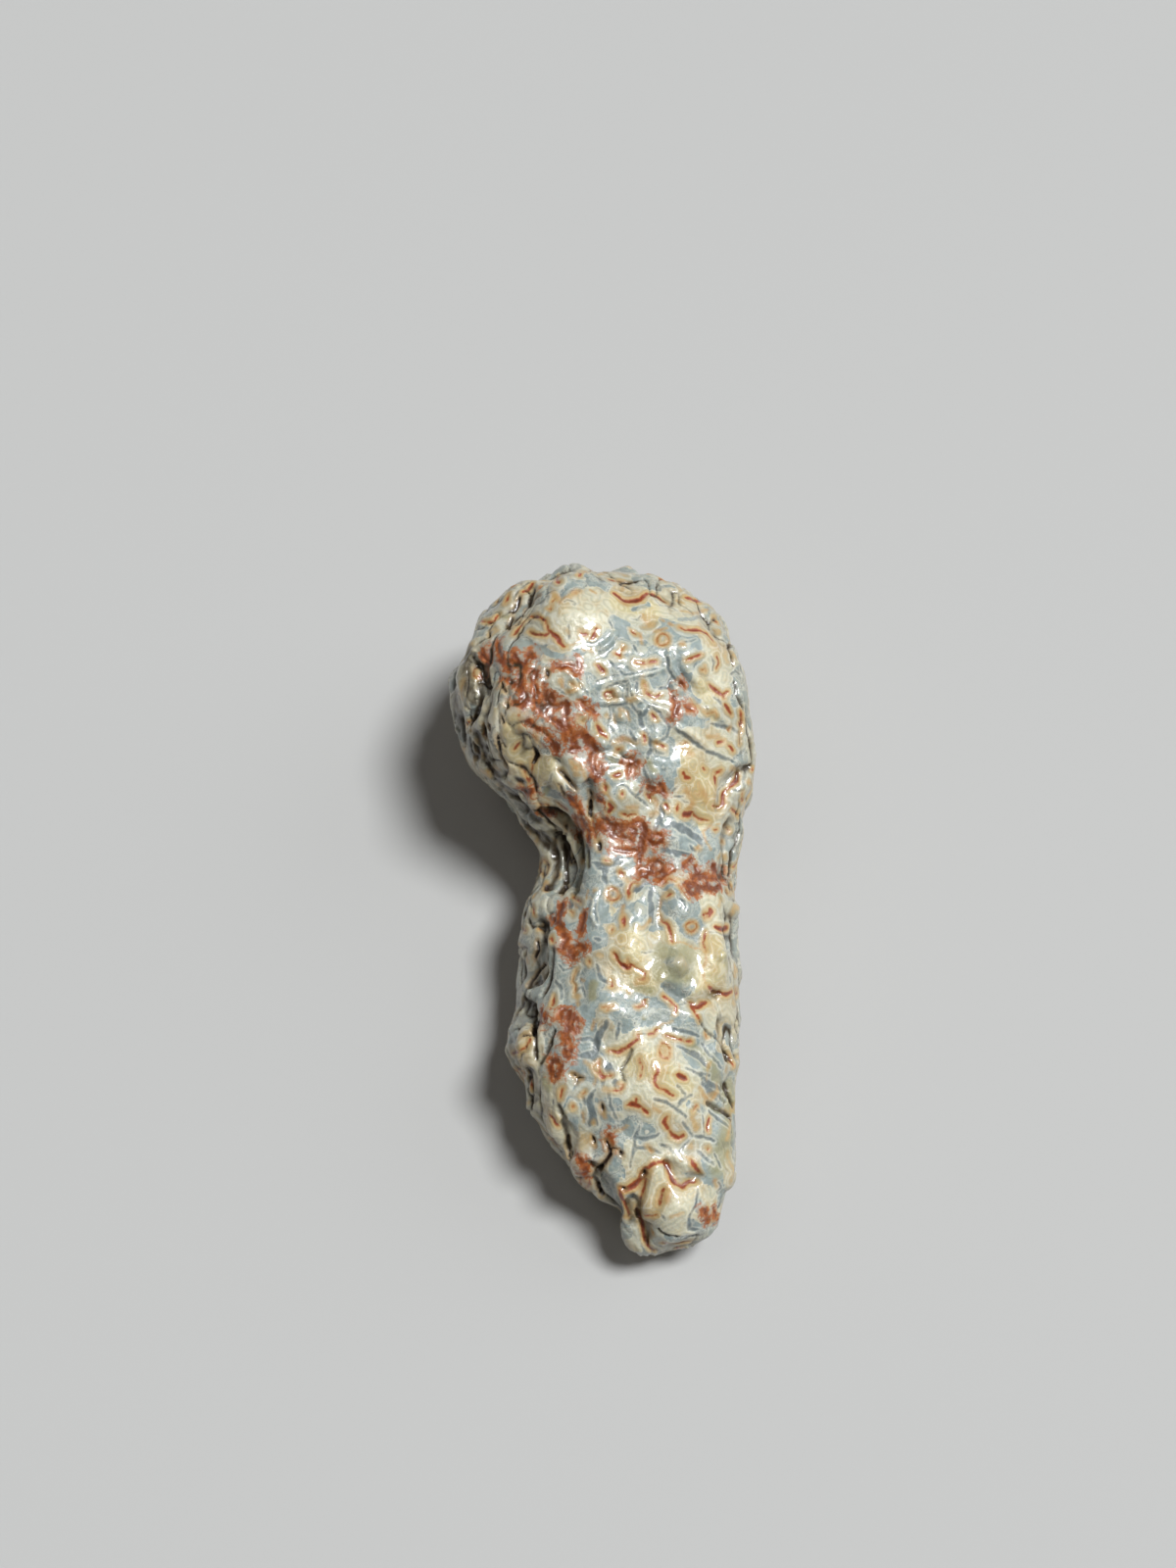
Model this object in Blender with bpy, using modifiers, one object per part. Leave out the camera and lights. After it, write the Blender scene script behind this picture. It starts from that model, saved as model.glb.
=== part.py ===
"""A gobi agate: one wind-polished pebble with a bulbous head, a folded waist and a blunt tapering foot.

The stone is drawn standing up, as it is looked at: across (X) is to the right, up (Z) runs from foot to head
and near (minus Y) comes towards the eye. It is then laid down, so that it rests on its flattened back with its
best face up. Lengths are in millimetres until the last step, which sets the object to metres.
"""

import math

import bmesh
import bpy
import numpy as np
from mathutils import Matrix, noise

METRES = 0.001

# The picked-up stone: 35 mm from foot to crown as it is looked at, and 15.6 mm across the head.
CROWN = 17.25
FOOT = -16.95
LEAN = math.radians(20.0)

# Outline as seen from the front, (across, up), clockwise from the crown.
FRONT_OUTLINE = (
    (-2.0, CROWN), (1.2, 16.65), (3.8, 15.6), (5.1, 14.2), (6.0, 12.2), (6.4, 9.9), (6.35, 7.6), (6.4, 6.0),
    (6.1, 4.2), (5.9, 2.0), (5.9, -0.5), (5.85, -3.5), (5.8, -7.0), (5.6, -10.4), (5.35, -12.8),
    (4.6, -15.0), (3.8, -16.2), (1.7, FOOT), (0.3, -16.6), (-0.6, -15.4), (-2.2, -13.7), (-4.2, -11.8),
    (-5.4, -9.7), (-5.85, -7.9), (-6.0, -6.4), (-5.3, -4.3), (-5.1, -1.6), (-4.9, 0.6), (-4.75, 2.9),
    (-5.6, 4.6), (-7.0, 6.4), (-8.0, 8.6), (-9.0, 11.1), (-7.9, 13.4), (-6.4, 15.5), (-4.8, 16.4),
)

# Outline from the side, (near, up), from the crown down the face and back up the spine.
SIDE_OUTLINE = (
    (-3.2, CROWN), (0.6, 16.3), (2.9, 13.4), (3.8, 10.4), (3.6, 7.0), (3.1, 4.0), (3.6, 1.0), (4.7, -2.5),
    (5.4, -6.5), (5.6, -10.0), (5.4, -13.5), (4.8, -16.0), (3.2, FOOT), (1.7, -16.2), (0.6, -13.8),
    (-1.3, -10.2), (-3.4, -5.0), (-5.0, -0.5), (-6.1, 3.0), (-7.5, 6.6), (-8.9, 10.0), (-8.9, 13.2),
    (-6.4, 16.3),
)

# How each cross-section is rounded, by height: (up, boxiness of the section, turn of its face in degrees).
SECTION_ROUNDING = (
    (FOOT, 2.1, 2.0), (-9.0, 2.4, 7.0), (0.0, 2.4, 11.0), (4.0, 2.4, 15.0), (11.0, 2.8, 16.0), (CROWN, 2.2, 12.0),
)

# Swellings and hollows of the face, (across, up, half width, half height, rise); a hollow has a negative rise.
SWELLINGS = (
    (-2.9, 14.4, 1.9, 1.7, 0.55),
    (3.2, 13.2, 2.2, 1.8, 0.3),
    (3.4, 9.6, 2.2, 1.6, 0.25),
    (-5.2, 8.8, 1.6, 2.2, 0.45),
    (-5.9, 12.6, 1.3, 1.6, 0.25),
    (0.0, 14.6, 1.0, 1.5, -0.35),
    (0.4, 9.0, 1.6, 1.7, -0.35),
    (3.6, 6.0, 1.8, 1.2, 0.25),
    (-3.7, 2.3, 1.6, 2.6, -1.1),
    (-5.0, 0.4, 0.7, 1.0, 0.3),
    (0.7, 0.3, 0.9, 1.1, 0.3),
    (2.6, 0.1, 0.9, 1.0, 0.28),
    (0.1, -1.9, 1.3, 1.0, 0.3),
    (2.5, -2.6, 0.9, 0.9, 0.3),
    (4.6, -2.3, 0.95, 1.3, 0.35),
    (-2.4, -3.0, 1.4, 1.5, -0.25),
    (-0.3, -4.9, 1.7, 0.7, 0.3),
    (1.4, -8.4, 2.1, 1.9, 0.55),
    (4.4, -9.6, 1.1, 2.2, -0.25),
    (-3.5, -10.9, 0.8, 1.0, 0.3),
    (2.5, -14.6, 1.3, 1.2, 0.4),
)

# Folds pressed into the face, (depth, half width, points of its line).
FOLDS = (
    (0.40, 0.36, ((-4.6, 16.0), (-5.4, 15.0), (-6.1, 13.9))),
    (0.55, 0.38, ((-7.5, 12.3), (-7.4, 10.8), (-7.5, 9.4))),
    (0.50, 0.36, ((-6.8, 9.2), (-6.4, 7.9), (-5.9, 6.6))),
    (0.35, 0.34, ((-4.3, 9.2), (-3.4, 7.6), (-2.6, 6.2))),
    (0.40, 0.34, ((-1.9, 6.3), (-1.9, 4.7))),
    (0.65, 0.42, ((-5.4, 6.2), (-4.3, 5.0), (-3.2, 4.1), (-2.7, 2.6), (-3.0, 1.0))),
    (0.60, 0.38, ((-4.3, 3.4), (-3.8, 2.2), (-4.2, 0.9))),
    (0.50, 0.40, ((-4.5, -0.6), (-4.4, -2.2), (-4.9, -3.8))),
    (0.45, 0.36, ((-5.1, -4.6), (-4.6, -5.9))),
    (0.40, 0.36, ((-4.9, -7.8), (-4.7, -9.6))),
    (0.40, 0.36, ((-3.0, -10.3), (-2.9, -12.2))),
    (0.55, 0.42, ((-1.9, -12.4), (-1.1, -13.6), (-0.5, -15.2))),
    (0.40, 0.38, ((0.2, -14.0), (0.7, -15.2), (0.9, -16.4))),
    (0.40, 0.40, ((1.9, -12.3), (2.6, -13.2), (3.6, -13.0))),
    (0.40, 0.36, ((5.2, 4.3), (5.1, 2.4), (5.4, 0.2))),
    (0.40, 0.36, ((5.9, 7.0), (4.9, 6.0), (4.5, 4.8))),
    (0.35, 0.34, ((1.8, -3.8), (3.2, -4.6), (4.6, -4.2))),
    (0.35, 0.34, ((4.7, -5.4), (5.2, -7.6))),
)

# Wrinkles that run down the flanks and the back, the shallow knobs all over, and the broad lumps of the back.
WRINKLE_WIDTH = 2.0
WRINKLE_RUN = 6.5
FLANK_WRINKLE = 0.42
FACE_WRINKLE = 0.06
KNOB_WIDTH = 1.8
KNOB_HEIGHT = 0.24
LUMP_WIDTH = 5.0
LUMP_HEIGHT = 0.5

# The flat on its back that the stone lies on: its lowest lumps are worn away by this much, with a rounded rim.
WORN_OFF = 0.75
RIM_ROUNDING = 0.14

# Fineness of the faceted solid.
FORM_STEP = 0.3
MOST_TRIANGLES = 9600


def smooth_loop(points, per_span=12):
    """A closed curve through the points, as many short chords."""
    p = np.array(points, float)
    before, here, after, beyond = np.roll(p, 1, 0), p, np.roll(p, -1, 0), np.roll(p, -2, 0)
    curve = []
    for t in np.linspace(0, 1, per_span, endpoint=False):
        curve.append(
            0.5 * (2 * here + (after - before) * t
                   + (2 * before - 5 * here + 4 * after - beyond) * t**2
                   + (3 * here - before - 3 * after + beyond) * t**3)
        )
    return np.stack(curve, axis=1).reshape(-1, 2)


def extent_at(loop, level):
    """Lowest and highest first coordinate where the loop crosses a height."""
    a, b = loop, np.roll(loop, -1, 0)
    crossing = (a[:, 1] - level) * (b[:, 1] - level) <= 0
    a, b = a[crossing], b[crossing]
    rise = b[:, 1] - a[:, 1]
    share = np.where(abs(rise) < 1e-9, 0.5, (level - a[:, 1]) / np.where(abs(rise) < 1e-9, 1, rise))
    found = a[:, 0] + share * (b[:, 0] - a[:, 0])
    return found.min(), found.max()


def section(level, around, outlines):
    """Points of the cross-section at one height, (across, near), for angles from 0 to 2 pi."""
    (left, right), (back, front) = (extent_at(loop, level) for loop in outlines)
    heights, boxiness, turns = np.array(SECTION_ROUNDING).T
    power = 2 / np.interp(level, heights, boxiness)
    turn = np.radians(np.interp(level, heights, turns)) * (1 + np.sin(around)) / 2
    wide = np.sign(np.cos(around)) * abs(np.cos(around)) ** power * (right - left) / 2
    deep = np.sign(np.sin(around)) * abs(np.sin(around)) ** power * (front - back) / 2
    across = wide * np.cos(turn) + deep * np.sin(turn)
    near = deep * np.cos(turn) - wide * np.sin(turn)
    across = left + (across - across.min()) / (across.max() - across.min()) * (right - left)
    near = back + (near - near.min()) / (near.max() - near.min()) * (front - back)
    return across, near


def plain_form():
    """The smooth form: a sphere's rings moved out to the cross-sections."""
    sides, rings = 120, 120
    form = bmesh.new()
    bmesh.ops.create_uvsphere(form, u_segments=sides, v_segments=rings, radius=1)
    outlines = smooth_loop(FRONT_OUTLINE), smooth_loop(SIDE_OUTLINE)
    lowest = max(loop[:, 1].min() for loop in outlines)
    highest = min(loop[:, 1].max() for loop in outlines)
    fine = np.linspace(0, 2 * math.pi, 4 * sides, endpoint=False)
    sections = {}
    for v in form.verts:
        share = round(v.co.z, 5)
        level = (highest + lowest) / 2 + share * (highest - lowest) / 2 * 0.9999
        if share not in sections:
            sections[share] = section(level, fine, outlines)
        across, near = sections[share]
        angle = math.atan2(v.co.y, v.co.x) % (2 * math.pi)
        v.co = (
            np.interp(angle, fine, across, period=2 * math.pi),
            -np.interp(angle, fine, near, period=2 * math.pi),
            level,
        )
    bmesh.ops.recalc_face_normals(form, faces=form.faces)
    mesh = bpy.data.meshes.new("plain_form")
    form.to_mesh(mesh)
    form.free()
    return mesh


def remeshed(mesh, modifier_type, **settings):
    """A new mesh made from this one by a single modifier."""
    helper = bpy.data.objects.new("helper", mesh)
    bpy.context.scene.collection.objects.link(helper)
    modifier = helper.modifiers.new(modifier_type.title(), modifier_type)
    for name, value in settings.items():
        setattr(modifier, name, value)
    graph = bpy.context.evaluated_depsgraph_get()
    made = bpy.data.meshes.new_from_object(helper.evaluated_get(graph))
    bpy.data.objects.remove(helper)
    return made


def points_and_normals(mesh):
    points = np.empty(len(mesh.vertices) * 3)
    normals = np.empty(len(mesh.vertices) * 3)
    mesh.vertices.foreach_get("co", points)
    mesh.vertices.foreach_get("normal", normals)
    return points.reshape(-1, 3), normals.reshape(-1, 3)


def roughness(points, seed):
    """Smooth noise from -1 to 1, with a feature about every unit."""
    shifted = points + np.array([17.3, 5.9, 11.1]) * seed
    return np.array([noise.noise(p) for p in shifted.tolist()])


def step_up(low, high, x):
    """0 below low, 1 above high, smooth between."""
    t = np.clip((x - low) / (high - low), 0, 1)
    return t * t * (3 - 2 * t)


def fold_shape(across, up, line, half_width):
    """1 along the line, falling to 0 at its half width, and narrower towards both ends."""
    lengths = np.hypot(*np.diff(np.array(line), axis=0).T)
    total, done = lengths.sum(), 0.0
    best = np.full(len(across), np.inf)
    for (x0, y0), (x1, y1), length in zip(line, line[1:], lengths):
        dx, dy = x1 - x0, y1 - y0
        t = np.clip(((across - x0) * dx + (up - y0) * dy) / length**2, 0, 1)
        along = (done + t * length) / total
        taper = 0.35 + 0.65 * np.sqrt(np.clip(4 * along * (1 - along), 0, 1))
        best = np.minimum(best, np.hypot(across - x0 - t * dx, up - y0 - t * dy) / (half_width * taper))
        done += length
    return (1 - np.clip(best / 1.8, 0, 1) ** 2) ** 2


def relief(points, normals):
    """How far the skin stands out from the plain form at each point, in millimetres."""
    across, away, up = points.T
    towards_eye = -normals[:, 1]
    facing = step_up(-0.15, 0.35, towards_eye)
    flank = 1 - step_up(0.35, 0.85, towards_eye) * step_up(-1.5, 0.5, across + 3.5)

    height = LUMP_HEIGHT * roughness(points / LUMP_WIDTH, 1) * (1 - 0.8 * facing)
    for x, z, half_width, half_height, rise in SWELLINGS:
        apart = ((across - x) / half_width) ** 2 + ((up - z) / half_height) ** 2
        height += facing * rise * np.exp(-1.2 * apart)

    stretched = np.stack([across / WRINKLE_WIDTH, away / WRINKLE_WIDTH, up / WRINKLE_RUN], axis=1)
    height += roughness(stretched, 3) * 1.6 * (FACE_WRINKLE + (FLANK_WRINKLE - FACE_WRINKLE) * flank)
    height += roughness(points / KNOB_WIDTH, 4) * 1.6 * KNOB_HEIGHT

    for depth, half_width, line in FOLDS:
        height -= facing * depth * fold_shape(across, up, line, half_width)
    return height


def lie_on_back(mesh):
    """Turns the stone back so that its spine is down, and wears a flat on the lowest side."""
    shape = bmesh.new()
    shape.from_mesh(mesh)
    bmesh.ops.rotate(shape, matrix=Matrix.Rotation(LEAN - math.pi / 2, 3, "X"), verts=shape.verts)
    lowest = min(v.co.z for v in shape.verts)
    for v in shape.verts:
        v.co.z = RIM_ROUNDING * math.log1p(math.exp((v.co.z - lowest - WORN_OFF) / RIM_ROUNDING))
    cut = bmesh.ops.bisect_plane(
        shape, geom=shape.verts[:] + shape.edges[:] + shape.faces[:], plane_co=(0, 0, 0.25 * RIM_ROUNDING),
        plane_no=(0, 0, -1), dist=1e-5, clear_outer=True,
    )
    rim = [e for e in cut["geom_cut"] if isinstance(e, bmesh.types.BMEdge)]
    bmesh.ops.holes_fill(shape, edges=rim)
    low = [min(v.co[i] for v in shape.verts) for i in range(3)]
    high = [max(v.co[i] for v in shape.verts) for i in range(3)]
    middle = ((low[0] + high[0]) / 2, (low[1] + high[1]) / 2, low[2])
    bmesh.ops.translate(shape, vec=[-c for c in middle], verts=shape.verts)
    bmesh.ops.scale(shape, vec=(METRES,) * 3, verts=shape.verts)
    bmesh.ops.recalc_face_normals(shape, faces=shape.faces)
    shape.to_mesh(mesh)
    shape.free()


def stone_material():
    """Waxy cream chalcedony."""
    material = bpy.data.materials.new("agate")
    material.use_nodes = True
    shader = material.node_tree.nodes["Principled BSDF"]
    shader.inputs["Base Color"].default_value = (0.56, 0.49, 0.34, 1)
    shader.inputs["Roughness"].default_value = 0.25
    return material


for old in list(bpy.data.objects):
    bpy.data.objects.remove(old)

skin = remeshed(plain_form(), "REMESH", mode="VOXEL", voxel_size=FORM_STEP)
skin_points, skin_normals = points_and_normals(skin)
skin_points += skin_normals * relief(skin_points, skin_normals)[:, None]
skin.vertices.foreach_set("co", skin_points.ravel())
skin.update()
skin = remeshed(skin, "REMESH", mode="VOXEL", voxel_size=FORM_STEP)

skin = remeshed(skin, "SMOOTH", factor=0.5, iterations=2)

triangles = sum(len(face.vertices) - 2 for face in skin.polygons)
stone_mesh = remeshed(skin, "DECIMATE", ratio=MOST_TRIANGLES / triangles, use_collapse_triangulate=True)
lie_on_back(stone_mesh)

stone = bpy.data.objects.new("stone", stone_mesh)
stone_mesh.name = "stone"
stone_mesh.materials.clear()
stone_mesh.materials.append(stone_material())
stone_mesh.shade_smooth()
stone_mesh.set_sharp_from_angle(angle=math.radians(50))

collection = bpy.data.collections.new("gobi_agate_stone")
bpy.context.scene.collection.children.link(collection)
collection.objects.link(stone)
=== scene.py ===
"""A gobi agate on a pale floor.

One wind-polished pebble, lying on its worn back with its patterned face up.
"""

import math

import bmesh
import bpy
import numpy as np
from mathutils import Matrix, Vector, kdtree, noise
from mathutils.bvhtree import BVHTree


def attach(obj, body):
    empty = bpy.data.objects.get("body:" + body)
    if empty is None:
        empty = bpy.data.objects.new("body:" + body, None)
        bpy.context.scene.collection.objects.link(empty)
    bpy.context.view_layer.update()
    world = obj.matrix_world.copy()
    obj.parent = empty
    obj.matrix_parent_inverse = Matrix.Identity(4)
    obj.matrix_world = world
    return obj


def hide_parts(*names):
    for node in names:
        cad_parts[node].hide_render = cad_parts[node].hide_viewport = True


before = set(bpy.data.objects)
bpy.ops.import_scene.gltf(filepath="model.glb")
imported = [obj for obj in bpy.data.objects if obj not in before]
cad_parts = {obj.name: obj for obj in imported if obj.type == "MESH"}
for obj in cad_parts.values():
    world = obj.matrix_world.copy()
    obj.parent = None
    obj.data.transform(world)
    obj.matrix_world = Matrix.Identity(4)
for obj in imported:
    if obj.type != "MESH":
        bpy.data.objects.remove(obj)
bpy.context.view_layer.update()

# The stone.
# A single pebble of chalcedony, its skin folded like a walnut where soft clay once filled it, then sanded
# and polished by the desert wind. Iron has stained it: red in the creases, rust in patches, grey between.

# It is drawn standing up, as it is looked at, in millimetres: across (X) to the right, near (minus Y)
# towards the eye and up (Z) from foot to head. At the end it is laid on its back, which turns it by a right
# angle less LEAN.
MILLIMETRE = 0.001
LEAN = math.radians(20.0)
CROWN = 17.25
FOOT = -16.95

# Its outline from the front (across, up) and from the side (near, up).
FRONT_OUTLINE = (
    (-2.0, CROWN), (1.2, 16.65), (3.8, 15.6), (5.1, 14.2), (6.0, 12.2), (6.4, 9.9), (6.35, 7.6), (6.4, 6.0),
    (5.9, 4.2), (5.6, 2.0), (5.5, -0.5), (5.4, -3.5), (5.4, -7.0), (5.4, -10.4), (5.3, -12.8), (4.6, -15.0),
    (3.8, -16.2), (1.7, FOOT), (0.3, -16.6), (-0.6, -15.4), (-2.2, -13.7), (-3.9, -11.8), (-4.95, -9.7),
    (-5.7, -7.9), (-6.0, -6.4), (-5.3, -4.3), (-5.1, -1.6), (-4.9, 0.6), (-4.75, 2.9), (-5.6, 4.6),
    (-7.0, 6.4), (-8.0, 8.6), (-9.3, 11.1), (-7.9, 13.4), (-6.4, 15.5), (-4.8, 16.4),
)
SIDE_OUTLINE = (
    (-3.2, CROWN), (0.6, 16.3), (2.9, 13.4), (3.8, 10.4), (3.6, 7.0), (3.1, 4.0), (3.6, 1.0), (4.7, -2.5),
    (5.4, -6.5), (5.6, -10.0), (5.4, -13.5), (4.8, -16.0), (3.2, FOOT), (1.7, -16.2), (0.6, -13.8),
    (-1.3, -10.2), (-3.4, -5.0), (-5.0, -0.5), (-6.1, 3.0), (-7.5, 6.6), (-8.9, 10.0), (-8.9, 13.2),
    (-6.4, 16.3),
)
# Its cross-sections: height, boxiness (2 is an ellipse), and how far the near side is turned, in degrees.
SECTION_ROUNDING = (
    (FOOT, 2.1, 2.0), (-9.0, 2.4, 7.0), (0.0, 2.4, 11.0), (4.0, 2.4, 15.0), (11.0, 2.8, 16.0),
    (CROWN, 2.2, 12.0),
)

# Swellings and hollows of the face: across, up, half width, half height, rise.
SWELLINGS = (
    (-2.9, 14.5, 2.1, 1.8, 0.5),
    (3.2, 13.2, 2.2, 1.8, 0.3),
    (3.4, 9.6, 2.2, 1.6, 0.25),
    (-5.2, 8.8, 1.6, 2.2, 0.45),
    (-5.9, 12.6, 1.3, 1.6, 0.25),
    (-6.4, 8.4, 1.1, 2.9, 0.85),
    (1.6, -0.2, 0.5, 1.6, -0.22),
    (0.2, 1.7, 1.2, 0.8, -0.18),
    (0.0, 14.6, 1.0, 1.5, -0.35),
    (-0.4, 8.9, 1.5, 1.7, -0.35),
    (3.6, 6.0, 1.8, 1.2, 0.25),
    (-3.7, 2.3, 1.6, 2.6, -1.1),
    (-5.0, 0.4, 0.7, 1.0, 0.3),
    (0.7, 0.3, 0.9, 1.1, 0.3),
    (2.6, 0.1, 0.9, 1.0, 0.28),
    (0.1, -1.9, 1.3, 1.0, 0.3),
    (2.5, -2.6, 0.9, 0.9, 0.3),
    (4.6, -2.3, 0.95, 1.3, 0.35),
    (-2.4, -3.0, 1.4, 1.5, -0.25),
    (-0.3, -4.9, 1.7, 0.7, 0.3),
    (1.4, -8.4, 2.1, 1.9, 0.55),
    (4.4, -9.6, 1.1, 2.2, -0.25),
    (-3.5, -10.9, 0.8, 1.0, 0.3),
    (2.5, -14.6, 1.3, 1.2, 0.4),
)

# Folds pressed into the face: depth, half width, line.
FOLDS = (
    (0.40, 0.36, ((-4.6, 16.0), (-5.4, 15.0), (-6.1, 13.9))),
    (0.55, 0.38, ((-7.5, 12.3), (-7.4, 10.8), (-7.5, 9.4))),
    (0.50, 0.36, ((-6.8, 9.2), (-6.4, 7.9), (-5.9, 6.6))),
    (0.28, 0.30, ((-3.6, 7.4), (-3.1, 6.8), (-2.6, 6.1))),
    (0.40, 0.34, ((-1.9, 6.3), (-1.9, 4.7))),
    (0.65, 0.42, ((-4.3, 4.7), (-3.5, 4.1), (-3.0, 3.4), (-2.7, 2.3), (-3.0, 1.0))),
    (0.60, 0.38, ((-4.3, 3.4), (-3.8, 2.2), (-4.2, 0.9))),
    (0.50, 0.40, ((-4.5, -0.6), (-4.4, -2.2), (-4.9, -3.8))),
    (0.45, 0.36, ((-5.1, -4.6), (-4.6, -5.9))),
    (0.40, 0.36, ((-4.9, -7.8), (-4.7, -9.6))),
    (0.40, 0.36, ((-3.0, -10.3), (-2.9, -12.2))),
    (0.55, 0.42, ((-1.9, -12.4), (-1.1, -13.6), (-0.5, -15.2))),
    (0.40, 0.38, ((0.2, -14.0), (0.7, -15.2), (0.9, -16.4))),
    (0.40, 0.40, ((1.9, -12.3), (2.6, -13.2), (3.6, -13.0))),
    (0.40, 0.36, ((5.2, 4.3), (5.1, 2.4), (5.4, 0.2))),
    (0.40, 0.36, ((5.9, 7.0), (4.9, 6.0), (4.5, 4.8))),
    (0.35, 0.34, ((1.8, -3.8), (3.2, -4.6), (4.6, -4.2))),
    (0.35, 0.34, ((4.7, -5.4), (5.2, -7.6))),
)

# Wrinkles run up and down it, deep on the flanks and faint on the face. Knobs and broad lumps lie between
# them, and the face has only a fifth of the lumps.
WRINKLE_WIDTH = 2.0
WRINKLE_RUN = 6.5
FLANK_WRINKLE = 0.42
FACE_WRINKLE = 0.06
KNOB_WIDTH = 1.8
KNOB_HEIGHT = 0.24
LUMP_WIDTH = 5.0
LUMP_HEIGHT = 0.5
FACE_CALM = 0.8

# The left flank gives way to the face at about this distance across.
FLANK_EDGE = -3.5

# Its back is worn flat to this height above its lowest lump, with a rounded rim.
WORN_OFF = 0.75
RIM_ROUNDING = 0.14
RIM_CUT = 0.25 * RIM_ROUNDING

# Fineness of the smooth form and of the skin, and the triangles it may take in all.
FORM_SIDES = 240
CHORDS_PER_SPAN = 12
SKIN_STEP = 0.1
MOST_TRIANGLES = 188000


def smooth_loop(points):
    """A closed curve through the points, as many short chords."""
    p = np.array(points, float)
    before, here, after, beyond_it = np.roll(p, 1, 0), p, np.roll(p, -1, 0), np.roll(p, -2, 0)
    curve = []
    for t in np.linspace(0, 1, CHORDS_PER_SPAN, endpoint=False):
        curve.append(
            0.5 * (2 * here + (after - before) * t
                   + (2 * before - 5 * here + 4 * after - beyond_it) * t**2
                   + (3 * here - before - 3 * after + beyond_it) * t**3)
        )
    return np.stack(curve, axis=1).reshape(-1, 2)


def extent_at(loop, level):
    """Lowest and highest first coordinate where the loop crosses a height."""
    a, b = loop, np.roll(loop, -1, 0)
    crossing = (a[:, 1] - level) * (b[:, 1] - level) <= 0
    a, b = a[crossing], b[crossing]
    rise = b[:, 1] - a[:, 1]
    is_level = abs(rise) < 1e-9
    share = np.where(is_level, 0.5, (level - a[:, 1]) / np.where(is_level, 1, rise))
    found = a[:, 0] + share * (b[:, 0] - a[:, 0])
    return found.min(), found.max()


def stretched_to(values, low, high):
    """The values moved and scaled to run from low to high."""
    return low + (values - values.min()) / (values.max() - values.min()) * (high - low)


def section(level, around, outlines):
    """Points of the cross-section at one height, (across, near), for angles from 0 to 2 pi."""
    (left, right), (back, front) = (extent_at(loop, level) for loop in outlines)
    heights, boxiness, turns = np.array(SECTION_ROUNDING).T
    power = 2 / np.interp(level, heights, boxiness)
    turn = np.radians(np.interp(level, heights, turns)) * (1 + np.sin(around)) / 2
    wide = np.sign(np.cos(around)) * abs(np.cos(around)) ** power * (right - left) / 2
    deep = np.sign(np.sin(around)) * abs(np.sin(around)) ** power * (front - back) / 2
    across = wide * np.cos(turn) + deep * np.sin(turn)
    near = deep * np.cos(turn) - wide * np.sin(turn)
    return stretched_to(across, left, right), stretched_to(near, back, front)


def plain_form():
    """The smooth form: a sphere's rings moved out to cross-sections that stop just inside the ends."""
    just_inside = 0.9999
    form = bmesh.new()
    bmesh.ops.create_uvsphere(form, u_segments=FORM_SIDES, v_segments=FORM_SIDES, radius=1)
    outlines = smooth_loop(FRONT_OUTLINE), smooth_loop(SIDE_OUTLINE)
    lowest = max(loop[:, 1].min() for loop in outlines)
    highest = min(loop[:, 1].max() for loop in outlines)
    around = np.linspace(0, 2 * math.pi, 4 * FORM_SIDES, endpoint=False)
    sections = {}
    for v in form.verts:
        share = round(v.co.z, 5)
        level = (highest + lowest) / 2 + share * (highest - lowest) / 2 * just_inside
        if share not in sections:
            sections[share] = section(level, around, outlines)
        across, near = sections[share]
        angle = math.atan2(v.co.y, v.co.x) % (2 * math.pi)
        v.co = (
            np.interp(angle, around, across, period=2 * math.pi),
            -np.interp(angle, around, near, period=2 * math.pi),
            level,
        )
    bmesh.ops.recalc_face_normals(form, faces=form.faces)
    mesh = bpy.data.meshes.new("plain_form")
    form.to_mesh(mesh)
    form.free()
    return mesh


def placed(name, data):
    """A new object in the scene."""
    made = bpy.data.objects.new(name, data)
    bpy.context.scene.collection.objects.link(made)
    return made


def remeshed(mesh, modifier_type, weights=None, **settings):
    """A new mesh made from this one by a single modifier, weighted point by point if weights are given."""
    helper = placed("helper", mesh)
    modifier = helper.modifiers.new(modifier_type.title(), modifier_type)
    for name, value in settings.items():
        setattr(modifier, name, value)
    if weights is not None:
        group = helper.vertex_groups.new(name="weights")
        group.add(np.flatnonzero(weights).tolist(), 1.0, "REPLACE")
        modifier.vertex_group = group.name
    graph = bpy.context.evaluated_depsgraph_get()
    made = bpy.data.meshes.new_from_object(helper.evaluated_get(graph))
    bpy.data.objects.remove(helper)
    return made


def points_and_normals(mesh):
    """The places and the normals of a mesh's points, a row each."""
    found = []
    for kind in ("co", "normal"):
        values = np.empty(len(mesh.vertices) * 3)
        mesh.vertices.foreach_get(kind, values)
        found.append(values.reshape(-1, 3))
    return found


def move_points(mesh, points):
    """Puts a mesh's points at new places."""
    mesh.vertices.foreach_set("co", points.ravel())
    mesh.update()


def waves(points, seed):
    """Smooth noise from -1 to 1, with a feature about every unit."""
    shifted = points + np.array([17.3, 5.9, 11.1]) * seed
    return np.array([noise.noise(p) for p in shifted.tolist()])


def step_up(low, high, x):
    """0 below low, 1 above high, smooth between."""
    t = np.clip((x - low) / (high - low), 0, 1)
    return t * t * (3 - 2 * t)


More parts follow.
